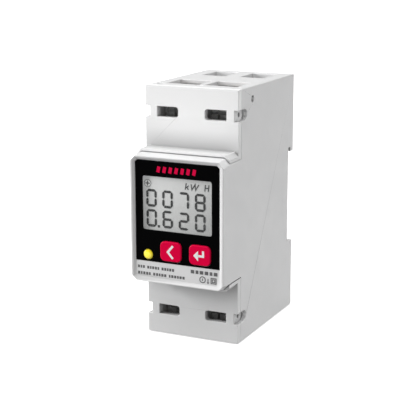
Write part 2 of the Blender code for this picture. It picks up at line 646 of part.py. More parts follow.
def make_terminal_cover(name, sign):
    """Sliding cover: collar ledge round the nose, front plate with screw slots, two sealing tongues."""
    inner = NOSE_REAR_HEIGHT / 2 - NOSE_CHAMFER - OVERRUN
    outer = COLLAR_HEIGHT / 2
    plate_back = SHELF_DEPTH + COVER_PLATE
    profile = [
        (COLLAR_DEPTH, inner),
        (plate_back, inner),
        (plate_back, HALF_HEIGHT),
        (SHELF_DEPTH, HALF_HEIGHT),
        (SHELF_DEPTH, outer),
        (COLLAR_DEPTH, outer),
    ]
    profile = [(depth, sign * z) for depth, z in profile]
    origin = (0.0, plate_back, sign * TERMINAL_Z)
    cover = piece(name, prism([profile], "x", -HALF_WIDTH, HALF_WIDTH), CASE_GREY, origin)
    cut(cover, prism([nose_outline(GAP)], "y", COLLAR_DEPTH - OVERRUN, plate_back + OVERRUN))
    # Cut corners of the collar, only in front of the plate
    for side in (-1, 1):
        corner = [
            (side * (HALF_WIDTH - COLLAR_CHAMFER - OVERRUN), sign * (outer + OVERRUN)),
            (side * (HALF_WIDTH + OVERRUN), sign * (outer - COLLAR_CHAMFER - OVERRUN)),
            (side * (HALF_WIDTH + OVERRUN), sign * (outer + OVERRUN)),
        ]
        cut(cover, prism([corner], "y", COLLAR_DEPTH - OVERRUN, SHELF_DEPTH))
    slots = []
    for side in (-1, 1):
        slot_x = mirrored((HALF_WIDTH - SLOT_MARGIN - SLOT_WIDTH, HALF_WIDTH - SLOT_MARGIN), side)
        slot_z = (sign * TERMINAL_Z - SLOT_HEIGHT / 2, sign * TERMINAL_Z + SLOT_HEIGHT / 2)
        outer_corners = (0, 3) if side < 0 else (1, 2)
        slots.append(rectangle(slot_x, slot_z, SLOT_RADIUS, outer_corners))
    cut(cover, prism(slots, "y", SHELF_DEPTH - OVERRUN, plate_back + OVERRUN))
    notch_z = (sign * TERMINAL_Z - SEAL_NOTCH_HEIGHT / 2, sign * TERMINAL_Z + SEAL_NOTCH_HEIGHT / 2)
    notches = []
    tongues = []
    for side in (-1, 1):
        notch_x = mirrored((INNER_HALF_WIDTH, HALF_WIDTH + OVERRUN), side)
        notches.append((notch_x, (SHELF_DEPTH - OVERRUN, plate_back + OVERRUN), notch_z))
        tongue_x = mirrored((INNER_HALF_WIDTH - GAP - TONGUE_THICKNESS, INNER_HALF_WIDTH - GAP), side)
        tongue_z = (sign * TERMINAL_Z - TONGUE_HEIGHT / 2, sign * TERMINAL_Z + TONGUE_HEIGHT / 2)
        tongues.append((tongue_x, (plate_back - COVER_PLATE / 2, plate_back + TONGUE_LENGTH), tongue_z))
    cut(cover, boxes(*notches))
    join(cover, boxes(*tongues))
    hole = (-HALF_WIDTH, SHELF_DEPTH + SEAL_NOTCH_LENGTH - SEAL_HOLE_FROM_END, sign * TERMINAL_Z)
    cut(cover, cylinder(hole, "x", BODY_WIDTH, SEAL_HOLE_RADIUS, sides=20))


# Front stack
def make_front_stack():
    window = rectangle((-WINDOW_HALF_WIDTH, WINDOW_HALF_WIDTH), (WINDOW_LOW, WINDOW_TOP), WINDOW_RADIUS)
    half = PANEL_HALF_WIDTH - GAP / 3
    face = cut_corner_rectangle(half, PANEL_LOW, PANEL_HALF_HEIGHT - GAP / 3, 0.0, OVERLAY_CORNER)
    overlay = [face, window, *front_holes(GAP)]
    piece("front_overlay", prism(overlay, "y", OVERLAY_DEPTH, OVERLAY_DEPTH + OVERLAY_THICKNESS), PANEL_BLACK)
    lens = [face, *front_holes(GAP)]
    piece("window_lens", prism(lens, "y", LENS_DEPTH, LENS_DEPTH + LENS_THICKNESS), CLEAR)

    lcd_x = (-LCD_HALF_WIDTH, LCD_HALF_WIDTH)
    piece("lcd_panel", boxes((lcd_x, (POCKET_DEPTH, LCD_BACK), (LCD_LOW, LCD_TOP))), LCD_GREY)
    behind = LCD_BACK + GAP
    strip_top = LCD_TOP - 2 * GAP
    strip_low = strip_top - CONTACT_STRIP_WIDTH
    guide_half = LCD_HALF_WIDTH - GAP - HOLDER_WALL
    guide_x = (-guide_half, guide_half)
    guide_z = (LCD_LOW + BACKLIGHT_MARGIN, strip_low - GAP)
    guide_depth = (behind, behind + BACKLIGHT_THICKNESS)
    piece("lcd_backlight", boxes((guide_x, guide_depth, guide_z)), LIGHT_GUIDE)
    strip_x = (CONTACT_STRIP_INSET - LCD_HALF_WIDTH, LCD_HALF_WIDTH - CONTACT_STRIP_INSET)
    strip_depth = (behind, DISPLAY_BOARD_DEPTH - GAP)
    piece("contact_strip", boxes((strip_x, strip_depth, (strip_low, strip_top))), RUBBER_GREY)
    outer = rectangle(lcd_x, (LCD_LOW + GAP, LCD_TOP + GAP))
    inner = rectangle((guide_x[0] - GAP, guide_x[1] + GAP), (guide_z[0] - GAP, strip_top + GAP))
    piece("lcd_holder", prism([outer, inner], "y", *strip_depth), HOLDER_WHITE)


def make_key(name):
    x = KEY_CENTRES_X[name]
    flange_depth = FRONT_WALL + GAP
    flange_back = flange_depth + KEY_FLANGE_THICKNESS
    cap = prism([key_outline(name, 0.0)], "y", KEY_FACE_DEPTH, flange_depth + KEY_FLANGE_THICKNESS / 2)
    key = piece(name, cap, KEY_RED, (x, KEY_FACE_DEPTH, KEY_CENTRE_Z))
    join(key, prism([key_outline(name, KEY_FLANGE)], "y", flange_depth, flange_back))
    stem_end = SWITCH_TOP - KEY_TRAVEL - GAP / 3
    stem_start = flange_back - GAP
    stem = cylinder((x, stem_start, KEY_CENTRE_Z), "y", stem_end - stem_start, KEY_STEM_RADIUS, sides=20)
    join(key, stem)
    smooth(key)

    body_depth = (SWITCH_TOP + SWITCH_PLUNGER_LENGTH, DISPLAY_BOARD_DEPTH - GAP)
    half = SWITCH_WIDTH / 2
    body = boxes(((x - half, x + half), body_depth, (KEY_CENTRE_Z - half, KEY_CENTRE_Z + half)))
    switch = piece(f"{name}_switch", body, CHIP_BLACK)
    plunger_start = (x, SWITCH_TOP, KEY_CENTRE_Z)
    plunger_length = 2 * SWITCH_PLUNGER_LENGTH
    join(switch, cylinder(plunger_start, "y", plunger_length, SWITCH_PLUNGER_RADIUS, sides=20))


def make_pulse_light():
    """Turned light pipe: a low dome, a straight shank through the front, a collar behind it."""
    collar_depth = FRONT_WALL + GAP
    collar_back = collar_depth + LIGHT_COLLAR_THICKNESS
    pipe_end = DISPLAY_BOARD_DEPTH - PULSE_LED_ROOM
    profile = []
    for step in range(7):
        angle = math.pi / 2 * step / 6
        depth = LIGHT_FACE_DEPTH + LIGHT_DOME * (1 - math.cos(angle))
        profile.append((LIGHT_RADIUS * math.sin(angle), depth))
    collar = LIGHT_RADIUS + LIGHT_COLLAR_WIDTH
    profile += [(LIGHT_RADIUS, collar_depth), (collar, collar_depth), (collar, collar_back)]
    profile += [(LIGHT_RADIUS, collar_back), (LIGHT_RADIUS, pipe_end), (0.0, pipe_end)]
    # The profile lies at +X and turns about Z; the object is then tipped so that Z runs forward
    bm = bmesh.new()
    points = [bm.verts.new((radius, 0.0, FRONT_TO_RAIL - depth)) for radius, depth in profile]
    for first, second in zip(points, points[1:]):
        bm.edges.new((first, second))
    pipe = piece("pulse_light", mesh_from(bm), LAMP_YELLOW)
    pipe.location = (LIGHT_X, 0.0, LIGHT_Z)
    pipe.rotation_euler = (math.radians(90), 0.0, 0.0)
    turn = pipe.modifiers.new("Turn", "SCREW")
    turn.axis = "Z"
    turn.steps = 24
    turn.render_steps = 24
    turn.use_merge_vertices = True
    turn.merge_threshold = 0.001 * MM
    turn.use_smooth_shade = True
    led_depth = (pipe_end + GAP, DISPLAY_BOARD_DEPTH - GAP)
    led_x = (LIGHT_X - PULSE_LED_LENGTH / 2, LIGHT_X + PULSE_LED_LENGTH / 2)
    led_z = (LIGHT_Z - PULSE_LED_HEIGHT / 2, LIGHT_Z + PULSE_LED_HEIGHT / 2)
    piece("pulse_led", boxes((led_x, led_depth, led_z)), HOLDER_WHITE)


# Terminals and conductors
def make_terminal_block(name, sign):
    """Insert with two chambers, open to the front and the cable side, and a web behind each head."""
    block_x = (-BASE_HALF_WIDTH, BASE_HALF_WIDTH)
    block_z = mirrored((BLOCK_BOTTOM, BLOCK_TOP), sign)
    block = piece(name, boxes((block_x, (BLOCK_DEPTH, CHAMBER_BACK + BLOCK_WALL), block_z)), BLOCK_GREY)
    chamber_z = mirrored((BLOCK_BOTTOM + BLOCK_FLOOR, BLOCK_TOP + OVERRUN), sign)
    floor_z = mirrored((BLOCK_BOTTOM - OVERRUN, BLOCK_BOTTOM + BLOCK_FLOOR + OVERRUN), sign)
    side_z = mirrored((BLOCK_BOTTOM - OVERRUN, BLOCK_TOP + OVERRUN), sign)
    chambers = []
    sides = []
    floors = []
    holes = bmesh.new()
    for side in (-1, 1):
        chamber_x = mirrored((PARTITION / 2, CHAMBER_SIDE), side)
        chambers.append((chamber_x, (BLOCK_DEPTH - OVERRUN, WEB_DEPTH), chamber_z))
        chambers.append((chamber_x, (WEB_DEPTH + SCREW_WEB, CHAMBER_BACK), chamber_z))
        side_x = mirrored((CHAMBER_SIDE + CHAMBER_WALL, BASE_HALF_WIDTH + OVERRUN), side)
        tongue_end = SHELF_DEPTH + COVER_PLATE + TONGUE_LENGTH + 2 * GAP
        sides.append((side_x, (BLOCK_DEPTH - OVERRUN, tongue_end), side_z))
        half = BUSBAR_WIDTH / 2 + GAP
        bar_x = (side * TERMINAL_X - half, side * TERMINAL_X + half)
        floors.append((bar_x, (BUSBAR_DEPTH - GAP, BUSBAR_DEPTH + BUSBAR_THICKNESS + GAP), floor_z))
        start = (side * TERMINAL_X, WEB_DEPTH - OVERRUN, sign * TERMINAL_Z)
        add_cylinder(holes, start, "y", SCREW_WEB + 2 * OVERRUN, SCREW_RADIUS + GAP, sides=24)
    cut(block, boxes(*chambers))
    cut(block, boxes(*sides))
    cut(block, boxes(*floors))
    cut(block, mesh_from(holes))


def make_terminal(place, x, z):
    """Screw that turns on the spot and the cage that it draws forward."""
    axis_origin = (x, SCREW_HEAD_DEPTH, z)
    head = cylinder(axis_origin, "y", SCREW_HEAD_LENGTH, SCREW_HEAD_RADIUS, sides=28)
    screw = piece(f"{place}_screw", head, ZINC, axis_origin)
    shank_start = SCREW_HEAD_DEPTH + SCREW_HEAD_LENGTH / 2
    shank_length = BUSBAR_DEPTH - GAP - shank_start
    join(screw, cylinder((x, shank_start, z), "y", shank_length, SCREW_RADIUS, sides=20))
    # A slot right across the head, and a shorter one that crosses it
    slot_depth = (SCREW_HEAD_DEPTH - OVERRUN, SCREW_HEAD_DEPTH + SCREW_RECESS)
    across = SCREW_HEAD_RADIUS + OVERRUN
    short = CROSS_SLOT_LENGTH / 2
    half = CROSS_SLOT_WIDTH / 2
    cut(screw, boxes(((x - across, x + across), slot_depth, (z - half, z + half))))
    cut(screw, boxes(((x - half, x + half), slot_depth, (z - short, z + short))))
    smooth(screw)

    cage_x = (x - CAGE_HALF_WIDTH, x + CAGE_HALF_WIDTH)
    cage_z = (z - CAGE_HEIGHT / 2, z + CAGE_HEIGHT / 2)
    cage = piece(f"{place}_cage", boxes((cage_x, (CAGE_DEPTH, CAGE_BACK), cage_z)), ZINC, (x, CAGE_DEPTH, z))
    room_x = (cage_x[0] + CAGE_WALL, cage_x[1] - CAGE_WALL)
    room_z = (cage_z[0] - OVERRUN, cage_z[1] + OVERRUN)
    cut(cage, boxes((room_x, (CAGE_DEPTH + CAGE_WALL, CAGE_BACK - CAGE_WALL), room_z)))
    hole_start = (x, CAGE_DEPTH - OVERRUN, z)
    hole_length = CAGE_WALL + 2 * OVERRUN
    cut(cage, cylinder(hole_start, "y", hole_length, SCREW_RADIUS + GAP, sides=24))


def make_busbar(name, x):
    """Copper bar from the upper cage to the lower one, wider where the conductors bear on it."""
    end = TERMINAL_Z + CAGE_HEIGHT / 2
    wide_start = TERMINAL_Z - CAGE_HEIGHT / 2
    wide = TONGUE_END_WIDTH / 2
    narrow = BUSBAR_WIDTH / 2
    right = [(narrow, -wide_start), (narrow, wide_start), (wide, wide_start), (wide, end)]
    upper_left = [(-wide, end), (-wide, wide_start), (-narrow, wide_start)]
    lower_left = [(-narrow, -wide_start), (-wide, -wide_start), (-wide, -end)]
    outline = [(wide, -end), (wide, -wide_start)] + right + upper_left + lower_left
    outline = [(x + across, up) for across, up in outline]
    piece(name, prism([outline], "y", BUSBAR_DEPTH, BUSBAR_DEPTH + BUSBAR_THICKNESS), COPPER)


def make_current_transformer():
    """Turned ring of square section round the phase busbar."""
    inner = math.hypot(BUSBAR_WIDTH, BUSBAR_THICKNESS) / 2 + GAP
    low = (-TERMINAL_X, BUSBAR_DEPTH + BUSBAR_THICKNESS / 2, -TRANSFORMER_HEIGHT / 2)
    ring = cylinder(low, "z", TRANSFORMER_HEIGHT, TRANSFORMER_RADIUS, sides=40)
    transformer = piece("current_transformer", ring, COIL_BLUE)
    hole = (low[0], low[1], low[2] - OVERRUN)
    cut(transformer, cylinder(hole, "z", TRANSFORMER_HEIGHT + 2 * OVERRUN, inner, sides=32))
    smooth(transformer)


def tube(name, points, radius, material, resolution=2):
    """Wire through points given as (x, depth, z)."""
    curve = bpy.data.curves.new(name, "CURVE")
    curve.dimensions = "3D"
    curve.bevel_depth = radius
    curve.bevel_resolution = resolution
    curve.use_fill_caps = True
    spline = curve.splines.new("POLY")
    spline.points.add(len(points) - 1)
    for point, (x, depth, z) in zip(spline.points, points):
        point.co = (x, depth - FRONT_TO_RAIL, z, 1.0)
    curve.materials.append(material)
    wire = bpy.data.objects.new(name, curve)
    meter.objects.link(wire)


def bowed_lead(start, end, sag, steps=10):
    """Points from start to end that swing out by sag in z half way along."""
    points = []
    for step in range(steps + 1):
        share = step / steps
        x, depth, z = (first + (last - first) * share for first, last in zip(start, end))
        points.append((x, depth, z + sag * math.sin(math.pi * share)))
    return points


# Boards and what sits on them
def make_boards():
    edge = INNER_HALF_WIDTH - BOARD_EDGE_ROOM
    display_back = DISPLAY_BOARD_DEPTH + BOARD_THICKNESS
    display_half = NOSE_INNER_HALF - BOARD_EDGE_ROOM
    display_depth = (DISPLAY_BOARD_DEPTH, display_back)
    board = boxes(((-edge, edge), display_depth, (-display_half, display_half)))
    piece("display_board", board, BOARD_GREEN)

    half_height = BLOCK_BOTTOM - 3 * GAP
    outline = rectangle((-edge, edge), (-half_height, half_height))
    holes = []
    for side in (-1, 1):
        for end in (-1, 1):
            centre = (side * BOARD_POST_X, end * BOARD_POST_Z)
            holes.append(circle(*centre, BOARD_SCREW_RADIUS + GAP, 20))
    piece("main_board", prism([outline, *holes], "y", MAIN_BOARD_DEPTH, BOARD_FRONT), BOARD_GREEN)


def make_flat_parts():
    """Parts with flat sides, given by x limits and z limits in millimetres and depth limits."""
    front = MAIN_BOARD_DEPTH - GAP
    back = BOARD_FRONT + GAP
    display = DISPLAY_BOARD_DEPTH + BOARD_THICKNESS + GAP
    for name, x, z, depth, finish in (
        ("controller_chip", (-5.0, 5.0), (2.0, 12.0), (display, display + 1.4 * MM), CHIP_BLACK),
        ("metering_chip", (1.5, 9.0), (6.0, 16.4), (front - 1.9 * MM, front), CHIP_BLACK),
        ("memory_chip", (1.5, 6.5), (-11.0, -6.0), (front - 1.5 * MM, front), CHIP_BLACK),
        ("timing_crystal", (11.0, 14.6), (1.0, 11.6), (front - 3.4 * MM, front), ZINC),
        ("supply_capacitor", (-13.0, -5.0), (-9.0, 9.0), (back, back + 13 * MM), CAPACITOR_YELLOW),
    ):
        x_limits, z_limits = ((low * MM, high * MM) for low, high in (x, z))
        piece(name, boxes((x_limits, depth, z_limits)), finish)


def make_round_parts():
    """Parts with round sides, on the back of the main board; their sizes are in millimetres."""
    back = BOARD_FRONT + GAP
    for name, axis, start_x, start_z, length, radius, finish in (
        ("smoothing_capacitor", "y", 8.0, 9.0, 12.0, 4.0, CHIP_BLACK),
        ("surge_varistor", "x", 1.5, -10.0, 3.6, 5.3, COIL_BLUE),
        ("fuse_resistor", "x", -5.0, -19.5, 10.0, 1.9, BLOCK_GREY),
    ):
        # A part that lies on its side keeps a gap to the board
        depth = back if axis == "y" else back + radius * MM + GAP
        start = (start_x * MM, depth, start_z * MM)
        made = piece(name, cylinder(start, axis, length * MM, radius * MM), finish)
        smooth(made)


def make_link_header():
    """Moulded block behind the display board, with four pins to the main board."""
    start = DISPLAY_BOARD_DEPTH + BOARD_THICKNESS + GAP
    end = start + HEADER_LENGTH
    half_width = HEADER_PINS * PIN_PITCH / 2
    block_z = (HEADER_Z - HEADER_HEIGHT / 2, HEADER_Z + HEADER_HEIGHT / 2)
    header = piece("link_header", boxes(((-half_width, half_width), (start, end), block_z)), CHIP_BLACK)
    pins = []
    pin = PIN_WIDTH / 2
    for number in range(HEADER_PINS):
        x = (number - (HEADER_PINS - 1) / 2) * PIN_PITCH
        pin_depth = (end - OVERRUN, MAIN_BOARD_DEPTH - GAP)
        pins.append(((x - pin, x + pin), pin_depth, (HEADER_Z - pin, HEADER_Z + pin)))
    join(header, boxes(*pins))


def make_leads():
    """Voltage leads from the busbars, and the transformer's lead, to the main board."""
    board = MAIN_BOARD_DEPTH - GAP
    bar_back = BUSBAR_DEPTH + BUSBAR_THICKNESS + GAP
    for name, side in (("phase_lead", -1), ("neutral_lead", 1)):
        start = (side * TERMINAL_X, bar_back, SENSE_LEAD_Z)
        end = (side * TERMINAL_X, board, SENSE_LEAD_Z)
        tube(name, bowed_lead(start, end, SENSE_LEAD_BOW), LEAD_RADIUS, LEAD_RED)
    ring_back = BUSBAR_DEPTH + BUSBAR_THICKNESS / 2 + TRANSFORMER_RADIUS + GAP
    start = (-TERMINAL_X, ring_back, 0.0)
    points = bowed_lead(start, (-TERMINAL_X, board, 0.0), TRANSFORMER_LEAD_BOW)
    tube("transformer_lead", points, LEAD_RADIUS, LEAD_RED)


# Rail clip and fasteners
def make_clip():
    half = CLIP_WIDTH / 2
    plate_depth = (CLIP_DEPTH, CLIP_DEPTH + CLIP_THICKNESS)
    bottom = GAP - HALF_HEIGHT
    plate = boxes(((-half, half), plate_depth, (bottom, CLIP_CATCH_TOP)))
    clip = piece("din_clip", plate, CLIP_BLACK, (0.0, CLIP_DEPTH, CLIP_CATCH_TOP))
    shoulder_depth = (FRONT_TO_RAIL + GAP, CLIP_DEPTH + CLIP_THICKNESS / 2)
    join(clip, boxes(((-half, half), shoulder_depth, (CLIP_SHOULDER_BOTTOM, CLIP_SHOULDER_TOP))))
    window = CLIP_WINDOW_WIDTH / 2
    through = (FRONT_TO_RAIL, BACK_DEPTH + OVERRUN)
    tool_z = (bottom + CLIP_TOOL_SLOT, bottom + 2 * CLIP_TOOL_SLOT)
    window_z = (CLIP_WINDOW_BOTTOM, CLIP_WINDOW_TOP)
    cut(clip, boxes(((-window, window), through, window_z), ((-window, window), through, tool_z)))

    low = CLIP_STOP_TOP + GAP + SPRING_WIRE_RADIUS
    high = CLIP_WINDOW_TOP - GAP - SPRING_WIRE_RADIUS
    steps = SPRING_TURNS * 8
    coil = []
    for step in range(steps + 1):
        angle = 2 * math.pi * SPRING_TURNS * step / steps
        x = SPRING_RADIUS * math.cos(angle)
        depth = SPRING_DEPTH + SPRING_RADIUS * math.sin(angle)
        coil.append((x, depth, low + (high - low) * step / steps))
    tube("clip_spring", coil, SPRING_WIRE_RADIUS, ZINC, resolution=1)


def make_fasteners():
    sink_depth = BASE_SCREW_HEAD_RADIUS - BASE_SCREW_RADIUS
    cone_depth = BACK_DEPTH - sink_depth
    shank_radius = BASE_SCREW_RADIUS - GAP / 6
    shank_length = BASE_SCREW_LENGTH + BASE_WALL - 2 * OVERRUN
    slot_half = SCREW_SLOT_WIDTH / 2
    for end, end_name in ((1, "upper"), (-1, "lower")):
        for side, side_name in ((-1, "left"), (1, "right")):
            x = side * BASE_SCREW_X
            z = end * BASE_SCREW_HEIGHT
            cone_start = (x, cone_depth, z)
            cone = cylinder(cone_start, "y", sink_depth, BASE_SCREW_RADIUS, BASE_SCREW_HEAD_RADIUS, 24)
            screw = piece(f"base_screw_{end_name}_{side_name}", cone, ZINC)
            shank_start = (x, cone_depth + GAP - shank_length, z)
            join(screw, cylinder(shank_start, "y", shank_length, shank_radius, sides=16))
            slot_x = (x - 2 * BASE_SCREW_HEAD_RADIUS, x + 2 * BASE_SCREW_HEAD_RADIUS)
            slot_depth = (BACK_DEPTH - 2 * GAP, BACK_DEPTH + OVERRUN)
            cut(screw, boxes((slot_x, slot_depth, (z - slot_half, z + slot_half))))
    head_depth = MAIN_BOARD_DEPTH - GAP - BOARD_SCREW_HEAD_LENGTH
    shank_depth = head_depth + BOARD_SCREW_HEAD_LENGTH / 2
    length = BOARD_SCREW_LENGTH + BOARD_THICKNESS
    for name, side in (("board_screw_left", -1), ("board_screw_right", 1)):
        x = side * BOARD_POST_X
        z = side * BOARD_POST_Z
        head_start = (x, head_depth, z)
        head = cylinder(head_start, "y", BOARD_SCREW_HEAD_LENGTH, BOARD_SCREW_HEAD_RADIUS, sides=20)
        screw = piece(name, head, ZINC)
        join(screw, cylinder((x, shank_depth, z), "y", length, BOARD_SCREW_RADIUS, sides=14))
        smooth(screw)


clear_scene()
meter = new_collection("electric_meter")
cutters = new_collection("cutters")
CASE_GREY = new_material("case_grey", (0.78, 0.79, 0.79), 0.5)
PANEL_BLACK = new_material("panel_black", (0.01, 0.01, 0.012), 0.25)
CLEAR = new_material("clear_window", (0.9, 0.92, 0.92), 0.05, alpha=0.3)
LCD_GREY = new_material("lcd_grey", (0.6, 0.62, 0.6), 0.2)
LIGHT_GUIDE = new_material("light_guide", (0.9, 0.92, 0.95), 0.3)
HOLDER_WHITE = new_material("holder_white", (0.85, 0.85, 0.83), 0.5)
RUBBER_GREY = new_material("rubber_grey", (0.2, 0.2, 0.2), 0.8)
KEY_RED = new_material("key_red", (0.68, 0.0, 0.035), 0.4)
LAMP_YELLOW = new_material("lamp_yellow", (0.95, 0.85, 0.1), 0.2)
BLOCK_GREY = new_material("block_grey", (0.68, 0.68, 0.67), 0.6)
ZINC = new_material("zinc_plate", (0.62, 0.62, 0.6), 0.35, 1.0)
COPPER = new_material("copper", (0.72, 0.42, 0.28), 0.35, 1.0)
COIL_BLUE = new_material("coil_blue", (0.08, 0.15, 0.4), 0.5)
BOARD_GREEN = new_material("board_green", (0.02, 0.22, 0.1), 0.45)
CHIP_BLACK = new_material("chip_black", (0.03, 0.03, 0.03), 0.5)
CAPACITOR_YELLOW = new_material("capacitor_yellow", (0.75, 0.6, 0.1), 0.5)
LEAD_RED = new_material("lead_red", (0.6, 0.05, 0.04), 0.5)
CLIP_BLACK = new_material("clip_black", (0.05, 0.05, 0.05), 0.5)

make_front_case()
make_rear_base()
make_terminal_cover("upper_terminal_cover", 1)
make_terminal_cover("lower_terminal_cover", -1)
make_front_stack()
for key_name in KEY_CENTRES_X:
    make_key(key_name)
make_pulse_light()
make_terminal_block("upper_terminal_block", 1)
make_terminal_block("lower_terminal_block", -1)
for end_sign, end_word in ((1, "upper"), (-1, "lower")):
    make_terminal(f"{end_word}_phase", -TERMINAL_X, end_sign * TERMINAL_Z)
    make_terminal(f"{end_word}_neutral", TERMINAL_X, end_sign * TERMINAL_Z)
make_busbar("phase_busbar", -TERMINAL_X)
make_busbar("neutral_busbar", TERMINAL_X)
make_current_transformer()
make_boards()
make_flat_parts()
make_round_parts()
make_link_header()
make_leads()
make_clip()
make_fasteners()
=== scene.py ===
import json
import math
import bmesh
import bpy
import numpy as np
from mathutils import Matrix, Vector

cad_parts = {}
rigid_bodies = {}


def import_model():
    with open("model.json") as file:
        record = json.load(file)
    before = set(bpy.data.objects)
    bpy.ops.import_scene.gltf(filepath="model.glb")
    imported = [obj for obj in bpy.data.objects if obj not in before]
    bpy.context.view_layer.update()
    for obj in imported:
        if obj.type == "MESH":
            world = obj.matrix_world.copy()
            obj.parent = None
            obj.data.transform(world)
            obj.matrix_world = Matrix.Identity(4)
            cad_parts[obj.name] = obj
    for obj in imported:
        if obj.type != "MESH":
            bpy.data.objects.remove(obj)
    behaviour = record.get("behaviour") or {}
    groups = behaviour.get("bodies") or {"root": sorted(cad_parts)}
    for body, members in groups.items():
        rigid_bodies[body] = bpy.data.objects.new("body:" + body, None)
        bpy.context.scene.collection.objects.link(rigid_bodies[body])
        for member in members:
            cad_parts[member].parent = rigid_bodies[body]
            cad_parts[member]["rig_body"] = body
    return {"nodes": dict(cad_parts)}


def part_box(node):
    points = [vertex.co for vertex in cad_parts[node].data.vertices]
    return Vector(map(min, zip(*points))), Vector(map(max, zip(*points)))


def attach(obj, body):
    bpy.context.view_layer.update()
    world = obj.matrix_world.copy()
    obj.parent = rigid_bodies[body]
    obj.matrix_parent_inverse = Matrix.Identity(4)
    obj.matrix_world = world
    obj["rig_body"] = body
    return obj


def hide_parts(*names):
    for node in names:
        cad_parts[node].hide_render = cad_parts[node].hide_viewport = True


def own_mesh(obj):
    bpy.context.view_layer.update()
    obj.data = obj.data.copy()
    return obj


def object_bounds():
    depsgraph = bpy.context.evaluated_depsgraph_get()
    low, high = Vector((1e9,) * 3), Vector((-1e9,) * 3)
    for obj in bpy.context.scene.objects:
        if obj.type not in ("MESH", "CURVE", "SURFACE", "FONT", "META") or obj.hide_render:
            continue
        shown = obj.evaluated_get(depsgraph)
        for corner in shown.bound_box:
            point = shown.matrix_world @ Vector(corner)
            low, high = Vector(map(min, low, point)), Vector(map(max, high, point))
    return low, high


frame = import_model()
cadLow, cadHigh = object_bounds()
nodes = frame["nodes"]
mm = 0.001  # metres in a millimetre
print("frame loaded:", len(nodes), "nodes")


def addNode(tree, kind, inputs, **settings):
    node = tree.nodes.new(kind)
    for key, value in settings.items():
        setattr(node, key, value)
    for key, value in inputs.items():
        if isinstance(value, bpy.types.NodeSocket):
            tree.links.new(value, node.inputs[key])
        else:
            node.inputs[key].default_value = value
    return node


def noiseFrom(tree, place, scale, detail=2.0, rough=0.5):
    return addNode(tree, "ShaderNodeTexNoise", {"Vector": place, "Scale": scale, "Detail": detail, "Roughness": rough})


def rangeOf(tree, value, low, high, fromLow=0.3, fromHigh=0.7):
    inputs = {"Value": value, "From Min": fromLow, "From Max": fromHigh, "To Min": low, "To Max": high}
    return addNode(tree, "ShaderNodeMapRange", inputs).outputs[0]


def mixColour(tree, share, first, second, blend="MIX"):
    node = addNode(tree, "ShaderNodeMix", {0: share, 6: first, 7: second}, data_type="RGBA", blend_type=blend)
    return node.outputs[2]


def stretchedPlace(tree, place, stretch):
    return addNode(tree, "ShaderNodeMapping", {"Vector": place, "Scale": stretch}).outputs[0]


# Painted shade: a crease is darkened where the share of open sky falls between these two, towards this tone
paintedShadeSky = {"from": 0.3, "to": 1.0, "tone": (0.22, 0.22, 0.22, 1)}


# Colour = the two tones mixed by a wide noise, then specks and rubbed streaks laid over it; roughness follows
# a middle noise and the streaks; bump is a fine grain plus the faint waviness of a moulded or rolled face. A look
# may also turn white towards its top, a painted light, and darken where its own piece shuts the sky out, a painted
# shade
def finish(name, look):
    material = bpy.data.materials.new(name)
    material.use_nodes = True
    tree = material.node_tree
    shader = tree.nodes["Principled BSDF"]
    place = addNode(tree, "ShaderNodeTexCoord", {}).outputs["Object"]
    wide = noiseFrom(tree, place, look.get("blotch", 55.0), 3.0).outputs[0]
    tone = mixColour(tree, rangeOf(tree, wide, 0.0, 1.0), (*look["colour"], 1), (*look["tint"], 1))
    streakPlace = stretchedPlace(tree, place, look.get("streakStretch", (1.0, 1.0, 0.12)))
    streakNoise = noiseFrom(tree, streakPlace, look.get("streak", 700.0), 4.0, 0.6).outputs[0]
    streak = rangeOf(tree, streakNoise, 0.0, look.get("wear", 0.15), 0.62, 0.8)
    tone = mixColour(tree, streak, tone, (*look.get("worn", look["tint"]), 1))
    if "speck" in look:
        speckNoise = noiseFrom(tree, place, look.get("speckScale", 2600.0), 1.0).outputs[0]
        tone = mixColour(tree, rangeOf(tree, speckNoise, 0.0, 0.6, 0.7, 0.8), tone, (*look["speck"], 1))
    # Painted light: white mixed in towards the top of the piece
    if "paler" in look:
        low, high, most = look["paler"]
        height = addNode(tree, "ShaderNodeSeparateXYZ", {"Vector": place}).outputs["Z"]
        tone = mixColour(tree, rangeOf(tree, height, 0.0, most, low * mm, high * mm), tone, (1, 1, 1, 1))
    # Painted shade: the colour darkens where the piece's own occlusion shuts out the sky
    if "crease" in look:
        shadeOcclusion = addNode(tree, "ShaderNodeAmbientOcclusion", {"Distance": look.get("creaseReach", 7.0) * mm}, samples=8,
                       only_local=True)
        depth = rangeOf(tree, shadeOcclusion.outputs["AO"], look["crease"], 0.0, paintedShadeSky["from"], paintedShadeSky["to"])
        tone = mixColour(tree, depth, tone, paintedShadeSky["tone"])
    tree.links.new(tone, shader.inputs["Base Color"])
    low, high = look["roughness"]
    middle = noiseFrom(tree, place, look.get("sheenScale", 260.0), 3.0).outputs[0]
    rough = rangeOf(tree, middle, low, high)
    tree.links.new(addNode(tree, "ShaderNodeMath", {0: rough, 1: streak}, operation="ADD").outputs[0],
                   shader.inputs["Roughness"])
    grain = noiseFrom(tree, place, look.get("grain", 3200.0), 3.0, 0.6).outputs[0]
    wavy = noiseFrom(tree, place, look.get("wave", 120.0), 1.0).outputs[0]
    waves = addNode(tree, "ShaderNodeBump", {"Height": wavy, "Distance": look.get("waveDepth", 0.02) * mm,
                                             "Strength": 0.4})
    bump = addNode(tree, "ShaderNodeBump", {"Height": grain, "Normal": waves.outputs[0], "Strength": 0.5,
                                            "Distance": look.get("grainDepth", 0.02) * mm})
    tree.links.new(bump.outputs[0], shader.inputs["Normal"])
    for socket, value in look.get("shader", {}).items():
        shader.inputs[socket].default_value = value
    return material
